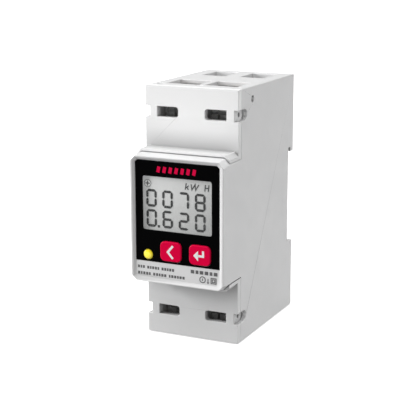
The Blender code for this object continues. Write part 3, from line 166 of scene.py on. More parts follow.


# A look's crease value sets how dark its painted shade in hollows goes
finishes = {
    "casePlastic": {"colour": (0.79, 0.79, 0.79), "tint": (0.765, 0.767, 0.77), "worn": (0.83, 0.83, 0.825),
                    "speck": (0.70, 0.70, 0.69), "roughness": (0.42, 0.56), "grainDepth": 0.03, "wear": 0.12,
                    "crease": 0.8},
    # Edge finishes are lighter than their faces: a painted highlight along the rounded edges, on a truly glossier
    # finish
    "caseEdge": {"colour": (0.86, 0.86, 0.86), "tint": (0.82, 0.82, 0.82), "worn": (0.9, 0.9, 0.9),
                 "roughness": (0.26, 0.38), "grainDepth": 0.008},
    "basePlastic": {"colour": (0.77, 0.77, 0.77), "tint": (0.74, 0.742, 0.745), "worn": (0.81, 0.81, 0.8),
                    "speck": (0.66, 0.66, 0.65), "roughness": (0.45, 0.62), "grainDepth": 0.035, "crease": 0.7},
    # A whiter copy of the plastic for the rear walls inside the openings: painted light
    "openingPlastic": {"colour": (0.96, 0.96, 0.96), "tint": (0.93, 0.93, 0.93), "roughness": (0.4, 0.5),
                       "grainDepth": 0.02},
    "coverPlastic": {"colour": (0.80, 0.80, 0.80), "tint": (0.775, 0.777, 0.78), "worn": (0.84, 0.84, 0.835),
                     "speck": (0.71, 0.71, 0.70), "roughness": (0.40, 0.54), "grainDepth": 0.028, "crease": 0.8,
                     "paler": (26.0, 36.0, 1.0)},
    "blockPlastic": {"colour": (0.66, 0.66, 0.65), "tint": (0.6, 0.6, 0.59), "worn": (0.72, 0.72, 0.71),
                     "speck": (0.5, 0.5, 0.48), "roughness": (0.5, 0.7), "grainDepth": 0.05, "crease": 0.3,
                     "creaseReach": 9.0},
    "overlayFilm": {"colour": (0.0014, 0.0014, 0.0015), "tint": (0.002, 0.002, 0.0022), "worn": (0.004, 0.004, 0.0042),
                    "roughness": (0.42, 0.52), "grain": 5200.0, "grainDepth": 0.006,
                    "shader": {"Specular IOR Level": 0.005}},
    "keyRubber": {"colour": (0.86, 0.0006, 0.058), "tint": (0.8, 0.0005, 0.052), "worn": (0.68, 0.01, 0.055),
                  "roughness": (0.5, 0.66), "grain": 4200.0, "grainDepth": 0.02, "blotch": 160.0,
                  "shader": {"Specular IOR Level": 0.03}},
    # Lighter red on the rounded key edges: a painted highlight, with a real higher gloss
    "keyEdge": {"colour": (0.88, 0.003, 0.062), "tint": (0.82, 0.002, 0.056), "roughness": (0.38, 0.48),
                "grainDepth": 0.008, "shader": {"Specular IOR Level": 0.1}},
    "holderPlastic": {"colour": (0.82, 0.82, 0.79), "tint": (0.77, 0.77, 0.74), "roughness": (0.4, 0.55)},
    "guideAcrylic": {"colour": (0.86, 0.89, 0.93), "tint": (0.82, 0.86, 0.92), "roughness": (0.1, 0.22),
                     "grainDepth": 0.004, "shader": {"IOR": 1.49}},
    "contactRubber": {"colour": (0.13, 0.13, 0.13), "tint": (0.2, 0.18, 0.17), "worn": (0.45, 0.3, 0.2),
                      "roughness": (0.7, 0.9), "streakStretch": (1.0, 0.02, 0.02), "streak": 2200.0, "wear": 0.5},
    "zincPlate": {"colour": (0.62, 0.62, 0.6), "tint": (0.54, 0.55, 0.55), "worn": (0.74, 0.74, 0.72),
                  "speck": (0.42, 0.4, 0.36), "roughness": (0.24, 0.42), "blotch": 240.0, "grainDepth": 0.01,
                  "wear": 0.25, "shader": {"Metallic": 1.0}},
    "screwZinc": {"colour": (0.5, 0.5, 0.49), "tint": (0.44, 0.44, 0.44), "worn": (0.58, 0.58, 0.57),
                  "speck": (0.1, 0.095, 0.085), "roughness": (0.6, 0.75), "blotch": 240.0, "grainDepth": 0.012,
                  "wear": 0.2, "crease": 0.25, "creaseReach": 9.0, "shader": {"Metallic": 0.1}},
    "springSteel": {"colour": (0.55, 0.55, 0.56), "tint": (0.46, 0.47, 0.49), "worn": (0.68, 0.68, 0.68),
                    "roughness": (0.2, 0.34), "blotch": 500.0, "grainDepth": 0.006, "shader": {"Metallic": 1.0}},
    "copperBar": {"colour": (0.74, 0.43, 0.29), "tint": (0.62, 0.33, 0.21), "worn": (0.84, 0.55, 0.4),
                  "speck": (0.3, 0.17, 0.11), "roughness": (0.26, 0.46), "blotch": 180.0, "wear": 0.3,
                  "grainDepth": 0.01, "shader": {"Metallic": 1.0}},
    "coilTape": {"colour": (0.06, 0.12, 0.36), "tint": (0.09, 0.17, 0.45), "worn": (0.14, 0.22, 0.5),
                 "roughness": (0.35, 0.5), "streakStretch": (1.0, 1.0, 0.05), "wear": 0.4},
    "boardMask": {"colour": (0.012, 0.17, 0.07), "tint": (0.02, 0.23, 0.1), "worn": (0.04, 0.3, 0.14),
                  "roughness": (0.25, 0.4), "streak": 900.0, "streakStretch": (1.0, 1.0, 0.04), "wear": 0.6,
                  "grainDepth": 0.01},
    "chipEpoxy": {"colour": (0.022, 0.022, 0.023), "tint": (0.035, 0.035, 0.035), "worn": (0.06, 0.06, 0.06),
                  "roughness": (0.5, 0.7), "grainDepth": 0.03},
    "capacitorFilm": {"colour": (0.75, 0.58, 0.09), "tint": (0.68, 0.5, 0.07), "worn": (0.82, 0.68, 0.2),
                      "roughness": (0.2, 0.34), "grainDepth": 0.01},
    "leadJacket": {"colour": (0.56, 0.035, 0.028), "tint": (0.48, 0.025, 0.02), "worn": (0.65, 0.1, 0.08),
                   "roughness": (0.38, 0.52), "grainDepth": 0.015},
    "clipPlastic": {"colour": (0.03, 0.03, 0.031), "tint": (0.045, 0.045, 0.046), "worn": (0.09, 0.09, 0.09),
                    "roughness": (0.42, 0.58), "grainDepth": 0.03, "wear": 0.3},
    # Lighter black on the rounded clip edges: a painted highlight
    "clipEdge": {"colour": (0.06, 0.06, 0.06), "tint": (0.09, 0.09, 0.09), "roughness": (0.32, 0.42)},
    "segmentInk": {"colour": (0.012, 0.013, 0.013), "tint": (0.02, 0.021, 0.021), "roughness": (0.4, 0.5),
                   "blotch": 400.0, "grainDepth": 0.002, "shader": {"Specular IOR Level": 0.06}},
    "symbolInk": {"colour": (0.045, 0.048, 0.048), "tint": (0.07, 0.073, 0.073), "roughness": (0.4, 0.5),
                  "blotch": 400.0, "grainDepth": 0.002, "shader": {"Specular IOR Level": 0.06}},
    "whiteInk": {"colour": (0.97, 0.97, 0.97), "tint": (0.93, 0.93, 0.93), "worn": (0.92, 0.8, 0.81),
                 "roughness": (0.45, 0.6), "blotch": 500.0, "grainDepth": 0.004, "streak": 1400.0},
    # The pale disc ink glows a little: painted light on a print that is no lamp
    "badgeInk": {"colour": (0.8, 0.81, 0.8), "tint": (0.74, 0.75, 0.74), "roughness": (0.45, 0.6), "blotch": 500.0,
                 "grainDepth": 0.003, "shader": {"Specular IOR Level": 0.06, "Emission Color": (0.8, 0.81, 0.8, 1),
                                              "Emission Strength": 0.25}},
    "redInk": {"colour": (0.8, 0.0024, 0.064), "tint": (0.74, 0.002, 0.058), "worn": (0.45, 0.001, 0.035),
               "roughness": (0.4, 0.5), "blotch": 500.0, "grainDepth": 0.004, "shader": {"Specular IOR Level": 0.06}},
    "darkInk": {"colour": (0.07, 0.07, 0.072), "tint": (0.1, 0.1, 0.102), "worn": (0.25, 0.25, 0.25),
                "roughness": (0.5, 0.6), "blotch": 900.0, "grainDepth": 0.003, "streak": 2400.0},
}
paints = {name: finish(name, look) for name, look in finishes.items()}


def sheetOf(material):
    tree = material.node_tree
    return tree, tree.nodes["Principled BSDF"], tree.nodes["Texture Coordinate"].outputs["Object"]


# Display glass: painted light, grey that falls from the upper left to the lower right, with the fine weave of the cell
# in it
displayLook = {"colour": (0.62, 0.63, 0.62), "tint": (0.6, 0.61, 0.6), "roughness": (0.3, 0.36),
               "light": (0.6, 0.605, 0.6), "dark": (0.34, 0.345, 0.34), "slant": (-0.55, 0.0, 0.83),
               "from": -6.5, "to": 17.0, "weave": 5200.0, "grainDepth": 0.002, "glow": 0.42,
               "shader": {"Specular IOR Level": 0.1}}
paints["displayGlass"] = finish("displayGlass", displayLook)
displayTree, displayShader, displayPlace = sheetOf(paints["displayGlass"])
along = addNode(displayTree, "ShaderNodeVectorMath", {0: displayPlace, 1: displayLook["slant"]},
                operation="DOT_PRODUCT")
paintedLightFall = rangeOf(displayTree, along.outputs["Value"], 0.0, 1.0, displayLook["from"] * mm, displayLook["to"] * mm)
shade = mixColour(displayTree, paintedLightFall, (*displayLook["dark"], 1), (*displayLook["light"], 1))
weave = addNode(displayTree, "ShaderNodeTexWave", {"Vector": displayPlace, "Scale": displayLook["weave"]})
shade = mixColour(displayTree, rangeOf(displayTree, weave.outputs[1], 0.0, 0.04), shade, (0.3, 0.3, 0.3, 1))
displayTree.links.new(shade, displayShader.inputs["Base Color"])
# The glow takes the same painted falloff: it stands for the backlight and also lightens the overlay's shadow on the
# glass
displayTree.links.new(shade, displayShader.inputs["Emission Color"])
displayShader.inputs["Emission Strength"].default_value = displayLook["glow"]

# Clear window: mostly see-through, with a faint gloss and fine handling marks that only change the roughness
windowLook = {"colour": (0.9, 0.92, 0.92), "tint": (0.86, 0.88, 0.88), "roughness": (0.04, 0.1),
              "grainDepth": 0.001, "waveDepth": 0.004, "shader": {"Alpha": 0.04, "IOR": 1.49}}
paints["clearWindow"] = finish("clearWindow", windowLook)

# Light pipe: a warm bright middle that deepens towards its rim
lampLook = {"colour": (0.9, 0.8, 0.05), "tint": (0.86, 0.74, 0.04), "roughness": (0.12, 0.2), "grainDepth": 0.003,
            "middle": (0.95, 0.88, 0.06), "rim": (0.72, 0.54, 0.015), "radius": 1.65, "glow": 0.32,
            "glowColour": (1.0, 0.84, 0.03)}
paints["lampAcrylic"] = finish("lampAcrylic", lampLook)
lampLow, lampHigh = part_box("pulse_light")
lampMiddle = (lampLow + lampHigh) / 2
lampTree, lampShader, lampPlace = sheetOf(paints["lampAcrylic"])
flatPlace = addNode(lampTree, "ShaderNodeVectorMath", {0: lampPlace, 1: (1.0, 0.0, 1.0)}, operation="MULTIPLY")
fromMiddle = addNode(lampTree, "ShaderNodeVectorMath", {0: flatPlace.outputs[0], 1: (lampMiddle.x, 0.0, lampMiddle.z)},
                     operation="DISTANCE")
outward = rangeOf(lampTree, fromMiddle.outputs["Value"], 0.0, 1.0, 0.4 * lampLook["radius"] * mm,
                  lampLook["radius"] * mm)
lampTone = mixColour(lampTree, outward, (*lampLook["middle"], 1), (*lampLook["rim"], 1))
lampTree.links.new(lampTone, lampShader.inputs["Base Color"])
lampShader.inputs["Emission Color"].default_value = (*lampLook["glowColour"], 1)
lampShader.inputs["Emission Strength"].default_value = lampLook["glow"]
print("finishes made:", len(paints))

# Which finish each of the frame's own nodes wears
nodeFinishes = {
    "casePlastic": ("front_case",), "basePlastic": ("rear_base",),
    "coverPlastic": ("upper_terminal_cover", "lower_terminal_cover"),
    "blockPlastic": ("upper_terminal_block", "lower_terminal_block", "fuse_resistor"),
    "overlayFilm": ("front_overlay",), "clearWindow": ("window_lens",), "displayGlass": ("lcd_panel",),
    "guideAcrylic": ("lcd_backlight",), "holderPlastic": ("lcd_holder", "pulse_led"),
    "contactRubber": ("contact_strip",), "keyRubber": ("left_key", "enter_key"),
    "chipEpoxy": ("left_key_switch", "enter_key_switch", "controller_chip", "metering_chip", "memory_chip",
                  "link_header", "smoothing_capacitor"),
    "lampAcrylic": ("pulse_light",), "copperBar": ("phase_busbar", "neutral_busbar"),
    "coilTape": ("current_transformer", "surge_varistor"), "boardMask": ("display_board", "main_board"),
    "capacitorFilm": ("supply_capacitor",), "leadJacket": ("phase_lead", "neutral_lead", "transformer_lead"),
    "clipPlastic": ("din_clip",), "springSteel": ("clip_spring",),
    "screwZinc": ("upper_phase_screw", "upper_neutral_screw", "lower_phase_screw", "lower_neutral_screw",
                  "upper_phase_cage", "upper_neutral_cage", "lower_phase_cage", "lower_neutral_cage"),
}
finishOfNode = {node: name for name, group in nodeFinishes.items() for node in group}
for nodeName, nodeObject in nodes.items():
    paint = paints[finishOfNode.get(nodeName, "zincPlate")]
    for slotNumber in range(len(nodeObject.material_slots)):
        nodeObject.material_slots[slotNumber].material = paint
print("frame nodes painted")


# Station i of a grid is one closed ring of corners; neighbouring rings are joined by quads and, on an open run,
# the first and the last ring are filled
def ringFaces(stations, corners, looped):
    runs = stations if looped else stations - 1
    start = np.arange(runs)[:, None] * corners
    after = ((np.arange(runs) + 1) % stations)[:, None] * corners
    here = np.arange(corners)[None, :]
    there = (here + 1) % corners
    quads = np.stack((start + here, start + there, after + there, after + here), axis=2).reshape(-1, 4)
    caps = [] if looped else [list(range(corners))[::-1], list(range((stations - 1) * corners, stations * corners))]
    return quads.tolist() + caps


def pieceFrom(name, parts, paint, body, smooth=False):
    points, faces, offset = [], [], 0
    for partPoints, partFaces in parts:
        points.append(np.asarray(partPoints, float) * mm)
        faces += [[corner + offset for corner in face] for face in partFaces]
        offset += len(partPoints)
    mesh = bpy.data.meshes.new(name)
    mesh.from_pydata(np.vstack(points).tolist(), [], faces)
    work = bmesh.new()
    work.from_mesh(mesh)
    bmesh.ops.recalc_face_normals(work, faces=work.faces)
    work.to_mesh(mesh)
    work.free()
    if smooth:
        mesh.polygons.foreach_set("use_smooth", np.ones(len(mesh.polygons), bool))
    mesh.materials.append(paints[paint])
    piece = bpy.data.objects.new(name, mesh)
    bpy.context.scene.collection.objects.link(piece)
    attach(piece, body)
    return piece


# A flat strip: each corner is a point of the path plus or minus its mitred side vector times the half-width,
# once at the front depth and once at the back depth. Path and depths are in millimetres, as (x, z) and y
def strip(path, halfWidth, front, back, looped=False):
    path = np.asarray(path, float)
    step = np.roll(path, -1, axis=0) - path if looped else np.diff(path, axis=0)
    step = step / np.linalg.norm(step, axis=1, keepdims=True)
    side = np.column_stack((-step[:, 1], step[:, 0]))
    before = np.roll(side, 1, axis=0) if looped else np.vstack((side[:1], side))
    after = side if looped else np.vstack((side, side[-1:]))
    mitre = (before + after) / (1.0 + np.sum(before * after, axis=1, keepdims=True))
    reach = mitre * np.broadcast_to(np.asarray(halfWidth, float), len(path))[:, None]
    ring = np.stack((path + reach, path - reach, path - reach, path + reach), axis=1)
    depth = np.broadcast_to(np.array((front, front, back, back)), ring.shape[:2])
    grid = np.stack((ring[:, :, 0], depth, ring[:, :, 1]), axis=2)
    return grid.reshape(-1, 3), ringFaces(len(path), 4, looped)


# A turned shape about a line along y: radius r(t) and depth y(t) carried round the angle; ends close in a fan
def turned(profile, centreX, centreZ, steps):
    profile = np.asarray(profile, float)
    angle = np.linspace(0.0, 2.0 * math.pi, steps, endpoint=False)
    rings = profile[1:-1]
    x = centreX + rings[:, :1] * np.cos(angle)
    z = centreZ + rings[:, :1] * np.sin(angle)
    y = np.broadcast_to(rings[:, 1:], x.shape)
    points = np.stack((x, y, z), axis=2).reshape(-1, 3)
    faces = ringFaces(len(rings), steps, False)[:-2]
    poles = np.array([[centreX, profile[0, 1], centreZ], [centreX, profile[-1, 1], centreZ]])
    count = len(points)
    here = np.arange(steps)
    there = (here + 1) % steps
    first = np.column_stack((np.full(steps, count), there, here))
    last = np.column_stack((np.full(steps, count + 1), here + count - steps, there + count - steps))
    return np.vstack((points, poles)), faces + first.tolist() + last.tolist()


def arcOf(centre, radius, fromAngle, toAngle, count):
    angle = np.radians(np.linspace(fromAngle, toAngle, count))
    return np.column_stack((centre[0] + radius * np.cos(angle), centre[1] + radius * np.sin(angle)))


def ringOf(centre, radius, count=36):
    return arcOf(centre, radius, 0.0, 360.0 - 360.0 / count, count)


# Angles in degrees, distances in millimetres, shares of a length or a width
edges = {"sharp": 28.0, "curved": 1.5, "merge": 0.002, "coplanar": 0.8, "room": 0.45, "least": 0.12}


# An edge is rounded where its two faces turn away from each other by more than the sharp angle. Its share of
# the full width is what a set share of the shortest edge at either end leaves room for. A face counts as curved
# when it meets a neighbour at less than the sharp angle but is not level with it
def edgeShares(mesh, width):
    sharpCosine, curvedCosine = math.cos(math.radians(edges["sharp"])), math.cos(math.radians(edges["curved"]))
    edgeCount, loopCount = len(mesh.edges), len(mesh.loops)
    ends = np.zeros(edgeCount * 2, np.int32)
    mesh.edges.foreach_get("vertices", ends)
    ends = ends.reshape(-1, 2)
    points = np.zeros(len(mesh.vertices) * 3)
    mesh.vertices.foreach_get("co", points)
    points = points.reshape(-1, 3)
    loopEdge, loopPoint = np.zeros(loopCount, np.int32), np.zeros(loopCount, np.int32)
    mesh.loops.foreach_get("edge_index", loopEdge)
    mesh.loops.foreach_get("vertex_index", loopPoint)
    sides, normals = np.zeros(len(mesh.polygons), np.int32), np.zeros(len(mesh.polygons) * 3)
    mesh.polygons.foreach_get("loop_total", sides)
    mesh.polygons.foreach_get("normal", normals)
    normals = normals.reshape(-1, 3)
    faceOfLoop = np.repeat(np.arange(len(sides)), sides)
    order = np.argsort(loopEdge, kind="stable")
    counts = np.bincount(loopEdge, minlength=edgeCount)
    starts = np.cumsum(counts) - counts
    paired = np.flatnonzero(counts == 2)
    firstLoop, secondLoop = order[starts[paired]], order[starts[paired] + 1]
    firstNormal, secondNormal = normals[faceOfLoop[firstLoop]], normals[faceOfLoop[secondLoop]]
    begin = loopPoint[firstLoop]
    finishPoint = ends[paired].sum(axis=1) - begin
    along = points[finishPoint] - points[begin]
    turning = np.sum(np.cross(firstNormal, secondNormal) * along, axis=1)
    cosine = np.sum(firstNormal * secondNormal, axis=1)
    lengths = np.linalg.norm(points[ends[:, 0]] - points[ends[:, 1]], axis=1)
    shortest = np.full(len(points), 1.0)
    np.minimum.at(shortest, ends.ravel(), np.repeat(lengths, 2))
    room = edges["room"] * shortest[ends[paired]].min(axis=1) / width
    chosen = (turning > 0) & (cosine < sharpCosine) & (room > edges["least"])
    shares = np.zeros(edgeCount, np.float32)
    shares[paired[chosen]] = np.minimum(room[chosen], 1.0)
    creased = np.zeros(edgeCount, bool)
    creased[paired] = (cosine < sharpCosine) & ~chosen
    bent = (cosine >= sharpCosine) & (cosine < curvedCosine)
    curved = np.zeros(len(sides), bool)
    curved[faceOfLoop[firstLoop[bent]]] = True
    curved[faceOfLoop[secondLoop[bent]]] = True
    return shares, creased, curved


openingZone = {"height": 28.0, "front": -44.0, "back": 2.0, "facing": -0.95}  # millimetres, and a normal's y


# Faces that look forward inside the cable entries and pockets get a whiter copy of the plastic: painted light on their
# rear walls
def paintedLitFaces(mesh):
    normals, middles = np.zeros(len(mesh.polygons) * 3), np.zeros(len(mesh.polygons) * 3)
    mesh.polygons.foreach_get("normal", normals)
    mesh.polygons.foreach_get("center", middles)
    normals, middles = normals.reshape(-1, 3), middles.reshape(-1, 3) / mm
    inside = (np.abs(middles[:, 2]) > openingZone["height"]) & (middles[:, 1] > openingZone["front"])
    inside &= middles[:, 1] < openingZone["back"]
    return inside & (normals[:, 1] < openingZone["facing"])


def softened(nodeName, width, paintNames, suffix="_moulded"):
    source = nodes[nodeName]
    mesh = source.data.copy()
    mesh.name = nodeName + suffix
    for attribute in [a for a in mesh.attributes if a.name == "custom_normal"]:
        mesh.attributes.remove(attribute)
    work = bmesh.new()
    work.from_mesh(mesh)
    bmesh.ops.remove_doubles(work, verts=work.verts, dist=edges["merge"] * mm)
    bmesh.ops.dissolve_limit(work, angle_limit=math.radians(edges["coplanar"]), verts=work.verts, edges=work.edges)
    bmesh.ops.triangulate(work, faces=work.faces, ngon_method="EAR_CLIP")
    work.to_mesh(mesh)
    work.free()
    shares, creased, curved = edgeShares(mesh, width * mm)
    weights = mesh.attributes.new("bevel_weight_edge", "FLOAT", "EDGE")
    weights.data.foreach_set("value", shares)
    creases = mesh.attributes.get("sharp_edge") or mesh.attributes.new("sharp_edge", "BOOLEAN", "EDGE")
    creases.data.foreach_set("value", creased)
    mesh.polygons.foreach_set("use_smooth", curved)  # flat faces keep their own normal, curved walls run smooth
    mesh.materials.clear()
    for paintName in paintNames:
        mesh.materials.append(paints[paintName])
    # Forward-facing walls inside the openings take the painted-lit copy
    paintOfFace = np.where(paintedLitFaces(mesh), 2, 0) if len(paintNames) > 2 else np.zeros(len(mesh.polygons), int)
    mesh.polygons.foreach_set("material_index", paintOfFace.astype(np.int32))
    piece = bpy.data.objects.new(nodeName + suffix, mesh)
    bpy.context.scene.collection.objects.link(piece)
    rounding = piece.modifiers.new("edgeRounding", "BEVEL")
    rounding.limit_method = "WEIGHT"
    rounding.width = width * mm
    rounding.segments = 2
    rounding.use_clamp_overlap = False
    # The rounded edges take the second finish, for most pieces a lighter one: a painted highlight
    rounding.material = 1
    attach(piece, source["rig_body"])
    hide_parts(nodeName)
    return piece


mouldings = {
    "front_case": (0.22, ("casePlastic", "caseEdge", "openingPlastic"), "case_grey"),
    "rear_base": (0.3, ("basePlastic", "caseEdge"), "case_grey"),
    "upper_terminal_cover": (0.25, ("coverPlastic", "caseEdge"), "case_grey"),
    "lower_terminal_cover": (0.25, ("coverPlastic", "caseEdge"), "case_grey"),
    "upper_terminal_block": (0.2, ("blockPlastic", "blockPlastic", "openingPlastic"), "block_grey"),
    "lower_terminal_block": (0.2, ("blockPlastic", "blockPlastic", "openingPlastic"), "block_grey"),
    "left_key": (0.3, ("keyRubber", "keyEdge"), "key_red"),
    "enter_key": (0.3, ("keyRubber", "keyEdge"), "key_red"),
    "din_clip": (0.25, ("clipPlastic", "clipEdge"), "clip_black"),
}
for nodeName, (width, paintNames, slotName) in mouldings.items():
    softened(nodeName, width, paintNames)
print("mouldings softened:", len(mouldings))

display = {"front": 0.10, "back": 0.02, "digitWidth": 4.1, "digitHeight": 6.3, "stroke": 0.44, "gap": 0.11,
           "tip": 0.12, "left": -12.6, "pitch": 6.28, "rows": ((4.4, "0078"), (-2.8, "0620")),
           "pointAt": (-7.8, -2.4), "pointHalf": 0.42, "thin": 0.19, "badgeAt": (-12.0, 12.7), "badgeRadius": 1.3,
           "plusShare": 0.66, "plusHalf": 0.17, "plusGap": 0.19, "ringHalf": 0.07, "discFront": 0.06, "discHole": 0.02}
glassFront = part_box("lcd_panel")[0].y / mm
segmentEnds = np.array((  # top, upper right, lower right, bottom, lower left, upper left, middle, as shares
    ((0, 2), (1, 2)), ((1, 2), (1, 1)), ((1, 1), (1, 0)), ((0, 0), (1, 0)),
    ((0, 1), (0, 0)), ((0, 2), (0, 1)), ((0, 1), (1, 1))), float)
litSegments = {"0": "1111110", "2": "1101101", "6": "1011111", "7": "1110000", "8": "1111111"}


# A segment is a straight strip that tapers to a blunt tip at both ends
def digitStrips(symbol, left, low):
    half = display["stroke"]
    size = np.array((display["digitWidth"] - 2 * half, (display["digitHeight"] - 2 * half) / 2))
    lit = np.array([flag == "1" for flag in litSegments[symbol]])
    ends = np.array((left + half, low + half)) + segmentEnds[lit] * size
    run = ends[:, 1] - ends[:, 0]
    length = np.linalg.norm(run, axis=1, keepdims=True)
    unit = run / length
    marks = np.array((display["gap"], display["gap"] + half, -display["gap"] - half, -display["gap"]))
    reach = np.where(marks[None, :] < 0, length + marks[None, :], marks[None, :])
    paths = ends[:, :1] + unit[:, None, :] * reach[:, :, None]
    widths = (display["tip"], half, half, display["tip"])
    return [strip(path, widths, glassFront - display["front"], glassFront - display["back"]) for path in paths]


digitParts = []
for low, text in display["rows"]:
    for place, symbol in enumerate(text):
        digitParts += digitStrips(symbol, display["left"] + place * display["pitch"], low)
pointX, pointZ = display["pointAt"]
pointPath = ((pointX - display["pointHalf"], pointZ), (pointX + display["pointHalf"], pointZ))
digitParts.append(strip(pointPath, display["pointHalf"], glassFront - display["front"], glassFront - display["back"]))
pieceFrom("display_digits", digitParts, "segmentInk", "meter")

unitStrokes = {
    "k": [((2.6, 11.65), (3.0, 14.0)), ((2.85, 12.35), (3.95, 13.15)), ((3.25, 12.65), (3.8, 11.65))],
    "W": [((4.85, 13.75), (5.15, 11.85), (6.35, 13.7), (6.55, 11.85), (7.75, 13.75))],
    "H": [((10.05, 11.7), (10.3, 14.0)), ((11.35, 11.7), (11.6, 14.0)), ((10.2, 12.85), (11.45, 12.85))],
}
unitParts = [strip(path, display["thin"], glassFront - display["front"], glassFront - display["back"])
             for strokes in unitStrokes.values() for path in strokes]
pieceFrom("display_units", unitParts, "symbolInk", "meter")
badgeX, badgeZ = display["badgeAt"]
plusReach, plusGap = display["plusShare"] * display["badgeRadius"], display["plusGap"]
plusPaths = (((badgeX - plusReach, badgeZ), (badgeX + plusReach, badgeZ)),
             ((badgeX, badgeZ - plusReach), (badgeX, badgeZ - plusGap)),
             ((badgeX, badgeZ + plusGap), (badgeX, badgeZ + plusReach)))
badgeParts = [strip(path, display["plusHalf"], glassFront - display["front"], glassFront - display["back"])
              for path in plusPaths]
pieceFrom("display_plus", badgeParts, "symbolInk", "meter")
badgeRing = strip(ringOf(display["badgeAt"], display["badgeRadius"]), display["ringHalf"],
                  glassFront - display["front"], glassFront - display["back"], looped=True)
pieceFrom("display_plus_ring", [badgeRing], "symbolInk", "meter")
discHalf = display["badgeRadius"] / 2
badgeDisc = strip(ringOf(display["badgeAt"], discHalf), discHalf - display["discHole"],
                  glassFront - display["discFront"], glassFront - display["back"], looped=True)
pieceFrom("display_plus_disc", [badgeDisc], "badgeInk", "meter")
print("display drawn")

inkThickness = 0.035
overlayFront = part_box("front_overlay")[0].y / mm
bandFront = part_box("front_case")[0].y / mm + 0.6  # plain face under the black overlay
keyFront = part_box("left_key")[0].y / mm


def printed(name, strokes, halfWidth, front, paint, body, looped=False):
    parts = [strip(path, halfWidth, front - inkThickness, front - 0.004, looped) for path in strokes]
    return pieceFrom(name, parts, paint, body)


# Red mark above the window: a plain row of slanted bars
redMark = {"left": -7.2, "pitch": 2.28, "count": 7, "low": 17.15, "high": 19.25, "slant": 0.45, "half": 0.62}
barLeft = redMark["left"] + redMark["pitch"] * np.arange(redMark["count"])
barPaths = [((x, redMark["low"]), (x + redMark["slant"], redMark["high"])) for x in barLeft]
printed("red_mark", barPaths, redMark["half"], overlayFront, "redInk", "meter")

# Plain dashes where the rating print runs, with widths that vary as words do
dashRows = {"upperLeft": (-15.6, -1.3, -17.35, 0.5, (3, 5, 5)), "lowerLeft": (-15.6, 2.8, -19.65, 0.5, (5, 5, 6)),
            "right": (5.2, 15.4, -16.85, 0.62, (6,))}


dash = {"width": 0.62, "swing": 0.22, "turn": 2.1, "pause": 0.3, "wordPause": 1.0}


# Dash n of a row starts where the widths and pauses before it end, all scaled so that the row fills its length
def dashPaths(left, right, middle, words):
    order = np.arange(sum(words))
    widths = dash["width"] + dash["swing"] * np.abs(np.sin(dash["turn"] * order + 1.0))
    pauses = np.full(len(order), dash["pause"])
    pauses[np.cumsum(words)[:-1] - 1] = dash["wordPause"]
    pauses[-1] = 0.0
    scale = (right - left) / np.sum(widths + pauses)
    starts = left + scale * (np.cumsum(widths + pauses) - widths - pauses)
    return [((x, middle), (x + w * scale, middle)) for x, w in zip(starts, widths)]


for rowName, (left, right, middle, half, words) in dashRows.items():
    printed("print_" + rowName, dashPaths(left, right, middle, words), half, bandFront, "darkInk", "meter")
symbols = {"ring": (9.75, -19.3), "ringRadius": 1.05, "tick": (-18.85, -19.75), "arrowX": 11.84,
           "arrow": (-18.7, -20.4), "barb": (0.35, 0.45), "square": (13.95, -19.3), "squareHalf": 0.95, "line": 0.16}
squareX, squareZ = symbols["square"]


def squareAround(half):
    return np.array(((squareX - half, squareZ - half), (squareX + half, squareZ - half),
                     (squareX + half, squareZ + half), (squareX - half, squareZ + half)))


outlines = [ringOf(symbols["ring"], symbols["ringRadius"]), squareAround(symbols["squareHalf"]),
            squareAround(0.5 * symbols["squareHalf"])]
printed("print_outlines", outlines, symbols["line"], bandFront, "darkInk", "meter", looped=True)
arrowTop, arrowLow = symbols["arrow"]
arrowX = symbols["arrowX"]
ringX, barbX, barbZ = symbols["ring"][0], *symbols["barb"]
arrowPaths = [((ringX, symbols["tick"][0]), (ringX, symbols["tick"][1])),
              ((arrowX, arrowTop), (arrowX, arrowLow + barbZ)),
              ((arrowX - barbX, arrowLow + barbZ), (arrowX, arrowLow), (arrowX + barbX, arrowLow + barbZ))]
printed("print_arrow", arrowPaths, symbols["line"], bandFront, "darkInk", "meter")
keyMarks = {
    "left_key": [((-1.42, -8.45), (-3.42, -10.8), (-1.42, -13.05))],
    "enter_key": [((8.15, -10.87), (10.2, -10.87), (10.2, -8.9))],
}
keyStroke = {"half": 0.4, "head": [((6.5, -10.87), (8.3, -10.87))], "headHalves": (0.06, 1.85)}
for keyName, strokes in keyMarks.items():
    printed(keyName + "_mark", strokes, keyStroke["half"], keyFront, "whiteInk", keyName)
printed("enter_key_arrowhead", keyStroke["head"], keyStroke["headHalves"], keyFront, "whiteInk", "enter_key")
print("printing done")

lightPipe = {"radius": 1.65, "dome": 0.35, "collar": 2.25, "collarFrom": 3.45, "collarLength": 0.8, "steps": 48}
pipeFront, pipeBack = lampLow.y / mm, lampHigh.y / mm
domeAngle = np.linspace(0.0, math.pi / 2, 10)
domeProfile = np.column_stack((lightPipe["radius"] * np.sin(domeAngle),
                               pipeFront + lightPipe["dome"] * (1 - np.cos(domeAngle))))
collarFront = pipeFront + lightPipe["collarFrom"]
collarBack = collarFront + lightPipe["collarLength"]
stepProfile = ((lightPipe["radius"], collarFront), (lightPipe["collar"], collarFront),
               (lightPipe["collar"], collarBack), (lightPipe["radius"], collarBack),
               (lightPipe["radius"], pipeBack), (0.0, pipeBack))
pipeShape = turned(np.vstack((domeProfile, stepProfile)), lampMiddle.x / mm, lampMiddle.z / mm, lightPipe["steps"])
pipe = pieceFrom("pulse_light_pipe", [pipeShape], "lampAcrylic", "meter", smooth=True)
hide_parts("pulse_light")

